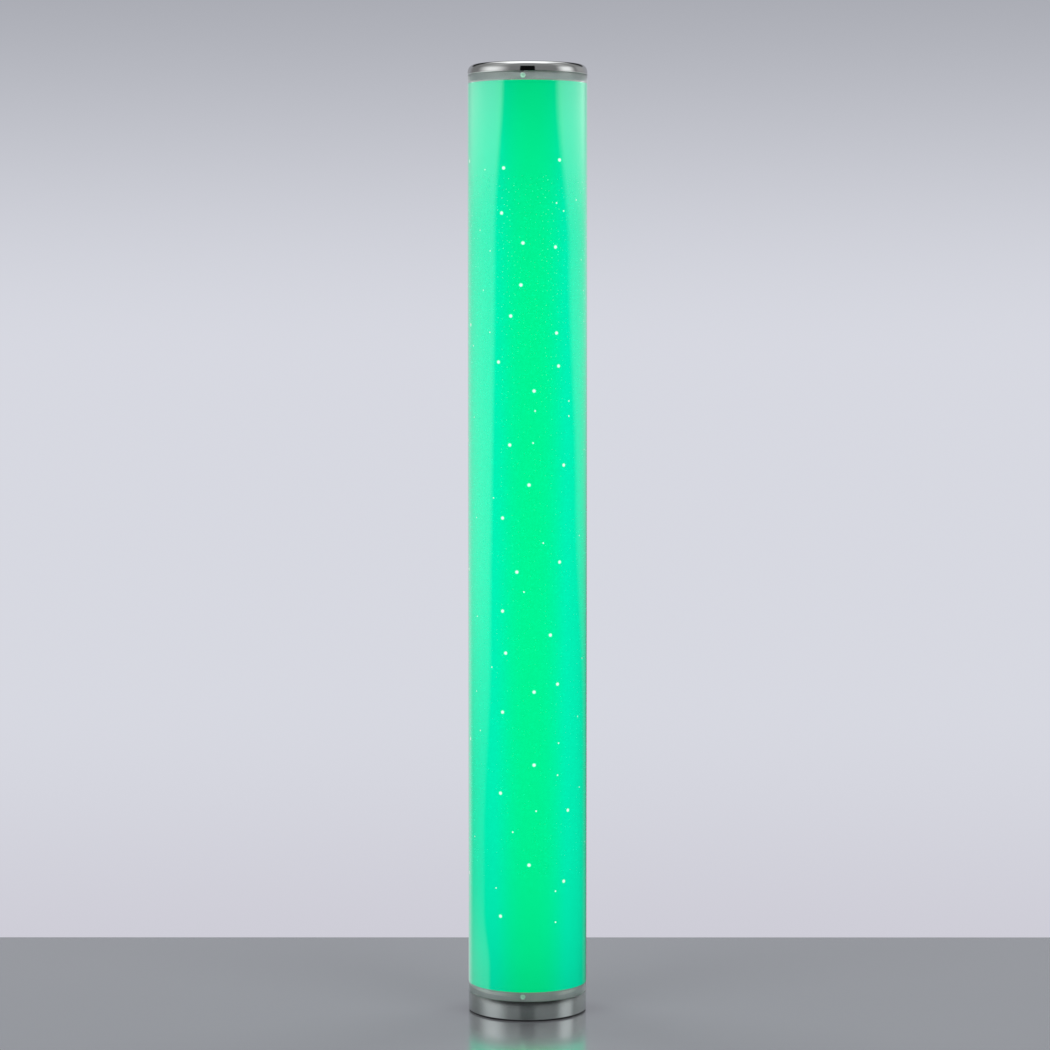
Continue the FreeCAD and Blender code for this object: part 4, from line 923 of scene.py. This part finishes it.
@dataclass
class TubeScrews:
    """The three screws at one end: a pale ring of a head with a slotted well, seen in the tube's hole."""
    end: End
    height: float
    face: float = 74.93
    head: float = 3.2
    head_length: float = 3.18
    shank: float = 1.9
    length: float = 9.18
    well: float = 1.75
    well_depth: float = 1.0

    def build(self, palette: Palette) -> None:
        """Builds the screws and sets them round the collar."""
        screws = [self.screw(way) for way in thirds()]
        group = Bench.joined(f"{self.end.value}_well_screws", screws)
        fitted(group, palette, Slot.CLEAR_SCREW, f"{self.end.value}_tube_screws")

    def screw(self, way: float) -> bpy.types.Object:
        """One screw, its head's face outwards in the direction way."""
        screw = Bench.turned("well_screw", [
            Corner(0.0, -self.well_depth), Corner(self.well, -self.well_depth),
            Corner(self.well + 0.2, -0.12, 0.1), Corner(self.head, 0.0, 0.35),
            Corner(self.head, -self.head_length, 0.15), Corner(self.shank, -self.head_length),
            Corner(self.shank, -self.length, 0.4), Corner(0.0, -self.length)], 64)
        slot = Bench.block("slot_drill", (-0.45, -self.well - 0.3, -self.well_depth - 0.7),
                           (0.45, self.well + 0.3, 0.5), 0.02)
        Bench.drilled(screw, [slot])
        turn = math.radians(way)
        out = Vector((math.cos(turn), math.sin(turn), 0))
        screw.matrix_world = (Matrix.Translation(out * self.face * MM + Vector((0, 0, self.height * MM)))
                              @ out.to_track_quat("Z", "Y").to_matrix().to_4x4())
        bpy.context.view_layer.objects.active = screw
        return Bench.settled("well_screw")


@dataclass
class Tube:
    """The clear acrylic tube with its six screw holes.

    Film and collars wet its bore, so the bore is drawn a few tenths under their faces and they fill the
    tube's whole width, as they do in the photograph.
    """
    outer: float = 75.0
    bore: float = 71.6
    bottom: float = 26.0
    top: float = 1182.0
    hole: float = 3.4
    hole_inset: float = 5.25
    hole_zone: float = 9.4

    def build(self, palette: Palette) -> None:
        """Builds the tube."""
        low, high = self.bottom + self.hole_zone, self.top - self.hole_zone
        rows = [low, 200.0, 400.0, 600.0, 800.0, 1000.0, high]
        tube = Bench.turned("acrylic_tube", [
            Corner(self.bore, self.bottom, 0.25), Corner(self.outer, self.bottom, 0.35),
            *(Corner(self.outer, row) for row in rows),
            Corner(self.outer, self.top, 0.35), Corner(self.bore, self.top, 0.25),
            *(Corner(self.bore, row) for row in reversed(rows))], 256)
        drills = [Bench.pin("hole_drill", self.hole, spot(self.bore - 6, way, height),
                            spot(self.outer + 6, way, height), 64)
                  for way in thirds() for height in (self.bottom + self.hole_inset, self.top - self.hole_inset)]
        Bench.drilled(tube, drills)
        fitted(tube, palette, Slot.CLEAR_ACRYLIC, "outer_tube")


@dataclass
class Film:
    """The rolled star film and the stars on it."""
    viewpoint: Viewpoint
    outer: float = 71.7
    thick: float = 0.5
    bottom: float = 36.5
    top: float = 1171.5
    slit: float = 1.0
    star_face: float = 71.80

    BIG_STARS = (
        (504, 168), (559, 160), (502, 213), (523, 243), (555, 247), (521, 285), (511, 316), (556, 333),
        (499, 362), (558, 366), (534, 391), (510, 445), (563, 465), (529, 485), (503, 518), (559, 562),
        (517, 572), (503, 611), (550, 635), (506, 653), (557, 684), (534, 692), (503, 712), (534, 765),
        (501, 793), (567, 810), (529, 865), (563, 881), (501, 916))
    SMALL_STARS = (
        (556, 203), (563, 211), (575, 200), (535, 411), (568, 401), (568, 416), (533, 443), (543, 543),
        (524, 592), (558, 743), (557, 775), (536, 811), (513, 832), (555, 891), (555, 922))

    def build(self, palette: Palette) -> None:
        """Builds the film and its stars."""
        film = Bench.turned("rolled_film", [
            Corner(self.outer - self.thick, self.bottom), Corner(self.outer, self.bottom),
            Corner(self.outer, self.top), Corner(self.outer - self.thick, self.top)], 256, gap=self.slit)
        fitted(film, palette, Slot.STAR_FILM, "star_film")
        stars = self.stars()
        fitted(stars, palette, Slot.STAR_FILM)
        stars.data.materials.clear()
        stars.data.materials.append(StarGlow(Slot.STAR_FILM).make())

    def places(self) -> list[tuple[float, float, float]]:
        """Each star's direction in degrees, height and radius, all in millimetres but the first."""
        found = []
        for pixels, radius in ((self.BIG_STARS, 3.1), (self.SMALL_STARS, 1.5)):
            for across, down in pixels:
                point = self.viewpoint.on_cylinder(across, down, self.outer) / MM
                found.append((math.degrees(math.atan2(point.y, point.x)), point.z, radius))
        chance = random.Random(41)
        sides = (-90 + self.viewpoint.azimuth + 56, -90 + self.viewpoint.azimuth - 32 + 360)
        tries = 0
        while len(found) < 150 and tries < 4000:
            tries += 1
            way, height = chance.uniform(*sides), chance.uniform(150, 1075)
            edge = min(way - sides[0], sides[1] - way)
            radius = 1.3 if edge < 34 else chance.choice((1.5, 3.1, 3.1))
            if all(math.hypot((way - other) % 360 * 1.25 if (way - other) % 360 < 180
                              else (360 - (way - other) % 360) * 1.25, height - rise) > 26
                   for other, rise, _ in found) and abs(way - 90) > 4:
                found.append((way, height, radius))
        return found

    def stars(self) -> bpy.types.Object:
        """All the stars, each a thin round facet on the film with a glow that is strongest in its middle."""
        pieces = []
        for way, height, radius in self.places():
            Bench.clear()
            bpy.ops.mesh.primitive_circle_add(vertices=20, radius=radius * MM, fill_type="NGON")
            bpy.ops.object.mode_set(mode="EDIT")
            bpy.ops.mesh.select_all(action="SELECT")
            for share in (0.30, 0.36):
                bpy.ops.mesh.inset(thickness=radius * share * MM, depth=0.02 * MM)
            bpy.ops.object.mode_set(mode="OBJECT")
            piece = bpy.context.object
            glow = piece.data.attributes.new("glow", "FLOAT", "POINT")
            for vertex in piece.data.vertices:
                reach = vertex.co.xy.length / (radius * MM)
                glow.data[vertex.index].value = 1.0 - reach if reach > 0.5 else 1.0
            turn = math.radians(way)
            out = Vector((math.cos(turn), math.sin(turn), 0))
            piece.matrix_world = (Matrix.Translation(out * self.star_face * MM + Vector((0, 0, height * MM)))
                                  @ out.to_track_quat("Z", "Y").to_matrix().to_4x4())
            pieces.append(piece)
        return Bench.joined("film_stars", pieces)


@dataclass
class Cap:
    """The polished cap with its domed edge and three studs."""
    bottom: float = 1182.3
    radius: float = 75.0
    height: float = 12.7
    wall: float = 1.2
    dome: float = 8.0
    lean: float = 13.0
    bevel: float = 4.8
    bolt_circle: float = 54.0
    stud: float = 2.0
    stud_drop: float = 8.2

    def build(self, palette: Palette) -> None:
        """Builds the cap."""
        bore, under = self.radius - self.wall, self.height - self.wall
        shell = Bench.turned("cap_shell", [
            Corner(0.0, under), Corner(bore - self.bevel, under, 3.0), Corner(bore, under - self.bevel, 3.0),
            Corner(bore, 0.0, 0.3), Corner(self.radius, 0.0, 0.3), *self.skin(), Corner(0.0, self.height)],
            256, self.bottom)
        studs = [Bench.pin("cap_stud", self.stud, spot(self.bolt_circle, way, self.bottom - self.stud_drop),
                           spot(self.bolt_circle, way, self.bottom + under + 0.3), edge=0.3)
                 for way in thirds()]
        fitted(Bench.joined("domed_cap", [shell, *studs]), palette, Slot.POLISHED_CAP, "top_cap")


    def skin(self) -> list[Corner]:
        """The outside of the wall, which leans in more and more, and of the dome that follows it."""
        lean, start = math.radians(self.lean), 0.6
        knee = self.height - self.dome * (1 - math.sin(lean))
        belly = (knee - start) / math.sin(lean)
        lower = [Corner(self.radius - belly * (1 - math.cos(lean * k / 8)), start + belly * math.sin(lean * k / 8))
                 for k in range(9)]
        middle = lower[-1].radius - self.dome * math.cos(lean)
        sweep = math.pi / 2 - lean
        return lower + [Corner(middle + self.dome * math.cos(lean + sweep * k / 12),
                               self.height - self.dome * (1 - math.sin(lean + sweep * k / 12)))
                        for k in range(1, 13)]


class InnerParts:
    """The solids of the frame that keep their shape and get their finish."""
    FINISHES = {
        "bottom_plate": Slot.ZINC_PLATE, "bottom_plate_screws": Slot.ZINC_SCREW,
        "ballast_weight": Slot.CAST_BALLAST, "base_bolts": Slot.ZINC_SCREW, "base_nuts": Slot.ZINC_SCREW,
        "film_seam_tape": Slot.CLEAR_TAPE, "core_profile": Slot.ALUMINIUM, "core_screws": Slot.ZINC_SCREW,
        "led_strips": Slot.WHITE_STRIP, "led_chips": Slot.LED_PACKAGE, "strip_jumpers": Slot.LEAD_RED,
        "chassis_plate": Slot.ZINC_CHASSIS, "chassis_screws": Slot.ZINC_SCREW,
        "terminal_block": Slot.TERMINAL_NYLON, "supply_leads": Slot.LEAD_BLACK,
        "driver_case": Slot.DRIVER_WHITE, "driver_screws": Slot.ZINC_SCREW,
        "board_standoffs": Slot.STANDOFF_NYLON, "controller_board": Slot.BOARD_GREEN,
        "output_leads": Slot.LEAD_RED, "strip_feed_lead": Slot.LEAD_GREY, "remote_eye": Slot.EYE_BLACK,
        "eye_lead": Slot.LEAD_BLACK, "cap_nuts": Slot.ZINC_SCREW,
    }

    def build(self, palette: Palette) -> None:
        """Dresses every solid that keeps its shape."""
        for node, slot in self.FINISHES.items():
            palette.dress_node(node, slot)
            log.info("%s keeps its shape, %s", node, slot.value)


# ------------------------------------------------------------------------------------------- the studio

@dataclass
class Studio:
    """Floor, backdrop, lamps and camera."""
    viewpoint: Viewpoint
    floor_back: float = 442.0
    floor_front: float = 7000.0
    floor_side: float = 3500.0
    disc: float = 188.0
    fill: float = 78.0

    def build(self) -> None:
        """Sets the stage up."""
        self.camera()
        self.floor()
        Surround(self.viewpoint.azimuth).build()
        self.lamps()
        bpy.context.scene.view_settings.view_transform = "Standard"

    def camera(self) -> None:
        """The camera at the photograph's viewpoint."""
        data = bpy.data.cameras.new("photo_camera")
        data.lens, data.sensor_width = self.viewpoint.lens, self.viewpoint.sensor
        data.clip_end = 60.0
        camera = bpy.data.objects.new("photo_camera", data)
        bpy.context.scene.collection.objects.link(camera)
        camera.location = self.viewpoint.position()
        camera.rotation_euler = self.viewpoint.rotation()
        bpy.context.scene.camera = camera

    def floor(self) -> None:
        """The pale floor, which ends behind the lamp; gloss on the lamp only finds the disc round its foot."""
        material = self.floor_finish()
        Bench.clear()
        turn = Matrix.Rotation(math.radians(self.viewpoint.azimuth), 4, "Z")
        middle = turn @ Vector((0, (self.floor_back - self.floor_front) / 2 * MM, -0.05 * MM))
        bpy.ops.mesh.primitive_plane_add(size=1, location=middle, rotation=turn.to_euler())
        bpy.context.object.scale = (self.floor_side * 2 * MM, (self.floor_back + self.floor_front) * MM, 1)
        floor = Bench.settled("floor")
        Bench.clear()
        bpy.ops.mesh.primitive_circle_add(vertices=128, radius=self.disc * MM, fill_type="NGON")
        disc = Bench.settled("floor_disc")
        for piece in (floor, disc):
            piece.data.materials.append(material)
        floor.visible_glossy = False

    @staticmethod
    def floor_finish() -> bpy.types.Material:
        """Half-polished pale grey, with slow haze."""
        material = bpy.data.materials.new("pale_floor")
        material.use_nodes = True
        graph = Graph(material.node_tree)
        haze = graph.noise(graph.place(), 1.4, 3.0)
        fine = graph.noise(graph.place(), 240.0, 3.0)
        graph.surface(
            Base_Color=graph.mixed(haze, (0.415, 0.43, 0.46), (0.44, 0.455, 0.485)),
            Metallic=0.80, Roughness=fine * 0.04 + 0.15)
        return material

    def lamps(self) -> None:
        """An overhead softbox, and four soft fills that light without showing in gloss."""
        self.lamp("overhead_softbox", (0.0, 0.3, 3.2), (0.0, 0.0, 0.6), (2.0, 1.6), 18.0)
        for quarter in range(4):
            turn = math.radians(self.viewpoint.azimuth - 45.0 + 90.0 * quarter)
            place = (2.6 * math.sin(turn), -2.6 * math.cos(turn), 2.0)
            self.lamp(f"fill_{quarter + 1}", place, (0.0, 0.0, 0.55), (1.6, 1.6), self.fill)

    @staticmethod
    def lamp(name: str, place: Sequence[float], aim: Sequence[float], size: Sequence[float],
             power: float) -> None:
        """One soft lamp that neither the camera nor gloss sees."""
        data = bpy.data.lights.new(name, "AREA")
        data.shape, data.size, data.size_y, data.energy = "RECTANGLE", *size, power
        lamp = bpy.data.objects.new(name, data)
        bpy.context.scene.collection.objects.link(lamp)
        lamp.location = place
        lamp.rotation_euler = (Vector(aim) - Vector(place)).to_track_quat("-Z", "Y").to_euler()
        lamp.visible_camera = lamp.visible_glossy = False


@dataclass(frozen=True)
class SoftLight:
    """A soft light: its direction, the half-widths of its core and of its fade, in degrees, and its level."""
    side: float
    core: float
    fade: float
    level: float


@dataclass
class Surround:
    """The room round the lamp: a plain screen for the camera, and the soft panels that gloss shows.

    Directions are degrees from the camera's, to the right; heights are degrees above the level.
    """
    azimuth: float
    left_light: SoftLight = SoftLight(-73.0, 4.0, 42.0, 0.76)
    right_light: SoftLight = SoftLight(82.0, 4.0, 27.0, 0.78)
    left_foot: SoftLight = SoftLight(-74.0, 4.0, 56.0, 1.5)
    right_foot: SoftLight = SoftLight(82.0, 4.0, 36.0, 1.3)
    tube_top: tuple[float, float] = (4.485, 4.497)
    tube_top_bend: float = 0.0000031
    tube_foot: tuple[float, float] = (-12.757, -12.745)
    tube_foot_bend: float = 0.0000085
    gate_half_width: tuple[float, float] = (13.5, 15.5)
    gate_top: tuple[float, float] = (28.0, 30.5)
    behind: tuple[float, float] = (130.0, 152.0)

    def build(self) -> None:
        """Makes the world."""
        world = bpy.data.worlds.new("studio_light")
        bpy.context.scene.world = world
        world.use_nodes = True
        graph = self.graph = Graph(world.node_tree)
        across, deep, up = graph.split(graph.node("ShaderNodeTexCoord", output="Generated"))
        turn = math.radians(self.azimuth)
        self.right = across * math.cos(turn) + deep * math.sin(turn)
        self.towards = across * math.sin(turn) - deep * math.cos(turn)
        self.side = self.right.maths("ARCTAN2", self.right, self.towards) * math.degrees(1)
        self.rise = up.maths("ARCSINE", up) * math.degrees(1)
        level = graph.scaled((1.0, 1.0, 1.0), self.low_panels() + self.skirt() + self.high_panels())
        shaped = graph.mixed(1.0, level, graph.scaled((0.97, 0.98, 1.05), self.rear()), "ADD")
        seen = graph.node("ShaderNodeLightPath", output="Is Camera Ray")
        shader = graph.node("ShaderNodeBackground", {}, {
            "Color": graph.mixed(seen, shaped, self.screen()), "Strength": 1.0})
        graph.node("ShaderNodeOutputWorld", {}, {"Surface": shader})

    def screen(self) -> Sock:
        """The grey screen behind the lamp, darker towards its top and a little towards the floor."""
        lower = self.graph.mixed(self.graph.step(self.rise, -13.0, -7.0), (0.61, 0.60, 0.67), (0.68, 0.69, 0.755))
        return self.graph.mixed(self.graph.step(self.rise, -1.0, 8.2), lower, (0.35, 0.36, 0.40))

    def beside(self) -> Sock:
        """A mask that leaves out the region behind the lamp."""
        return self.graph.step(abs(self.side), *self.behind, 1.0, 0.0)

    def past_tube(self) -> Sock:
        """A mask of the heights that only the cap can mirror, above those that the tube's top row mirrors."""
        return self.graph.step(self.rise + self.side * self.side * self.tube_top_bend, *self.tube_top)

    def patch(self, light: SoftLight) -> Sock:
        """A soft light's level over its own width."""
        return self.graph.step(abs(self.side - light.side), light.core, light.fade, light.level, 0.0)

    def low_panels(self) -> Sock:
        """The upright panels left and right of the camera, up to the height of the tube's top."""
        step, rise = self.graph.step, self.rise
        left_edge = step(rise, -10.0, -6.5, -92.0, -75.0) + step(rise, -6.5, 1.5, 0.0, 11.0) + step(
            rise, 1.5, 4.4, 0.0, 18.0) + step(rise, -12.3, -11.2, 14.0, 0.0)
        left = step(rise, -9.5, -3.5, 0.17, 0.66) + step(rise, 1.2, 4.2, 0.0, 0.85) + step(
            rise, -12.6, -10.5, 0.35, 0.0)
        left = left * step(left_edge - self.side, -4.0, 9.0) * step(self.side, -150.0, -95.0, 0.6, 1.0)
        right_edge = step(rise, -8.5, -3.5, 140.0, 105.0) - step(rise, -3.5, 1.0, 0.0, 20.0) - step(
            rise, 1.0, 4.2, 0.0, 29.0)
        right = step(rise, -8.0, 0.5, 0.07, 0.42) + step(rise, 1.2, 4.2, 0.0, 1.0)
        right = right * step(self.side - right_edge, -5.0, 12.0)
        return ((left + right) * self.beside() + 0.012) * (1.0 - self.past_tube())

    def skirt(self) -> Sock:
        """The soft lights' lower ends, which only the tube's last centimetre mirrors."""
        bend = self.side * self.side * self.tube_foot_bend
        below = self.graph.step(self.rise - bend, *self.tube_foot, 1.0, 0.0)
        return (self.patch(self.left_foot) + self.patch(self.right_foot)) * below

    def high_panels(self) -> Sock:
        """What stands above that: two soft lights, the ceiling's light and the dark gap at the camera."""
        step, rise, side = self.graph.step, self.rise, self.side
        height = step(rise, 4.4, 11.0, 0.6, 1.0) * step(rise, 17.0, 31.0, 1.0, 0.22)
        left = self.patch(self.left_light) * height
        right = (self.patch(self.right_light) + step(side, 104.0, 118.0, 0.0, 0.15)) * height
        front = step(rise, 24.0, 40.0, 0.20, 0.25)
        gate = step(abs(side), *self.gate_half_width, 0.02, 1.0)
        gate = gate.maths("MAXIMUM", gate, step(rise, *self.gate_top))
        ceiling = (step(self.towards, -0.80, -0.60) * step(self.towards, 0.14, 0.30, 1.0, 0.0)
                   * step(abs(self.right), 0.20, 0.50, 1.35, 0.0) * step(rise, 36.0, 46.0))
        return ((left + right + front) * gate * self.beside() + ceiling) * self.past_tube()

    def rear(self) -> Sock:
        """The screen as gloss shows it, with the dark room above it."""
        step = self.graph.step
        weaker = step(self.side, 60.0, 120.0) * step(self.rise, -8.0, 2.5, 0.85, 0.0)
        level = step(self.rise, 4.4, 5.0, 0.56, 0.34) * step(self.rise, 17.0, 23.0, 1.0, 0.07)
        return level * (1.0 - weaker) * (1.0 - self.beside())


def main() -> None:
    """Builds the studio and the lamp, piece by piece from the floor up."""
    logging.basicConfig(level=logging.INFO, format="%(name)s: %(message)s")
    viewpoint = Viewpoint()
    palette = Palette(FINISHES)
    Studio(viewpoint).build()
    Base().build(palette)
    Collar(End.LOWER, 25.0, 60.7, 1.0).build(palette)
    TubeScrews(End.LOWER, 31.25).build(palette)
    Tube().build(palette)
    Film(viewpoint).build(palette)
    Collar(End.UPPER, 1183.0, 73.5, 2.5).build(palette)
    TubeScrews(End.UPPER, 1176.75).build(palette)
    Cap().build(palette)
    InnerParts().build(palette)


if __name__ == "__main__":
    main()
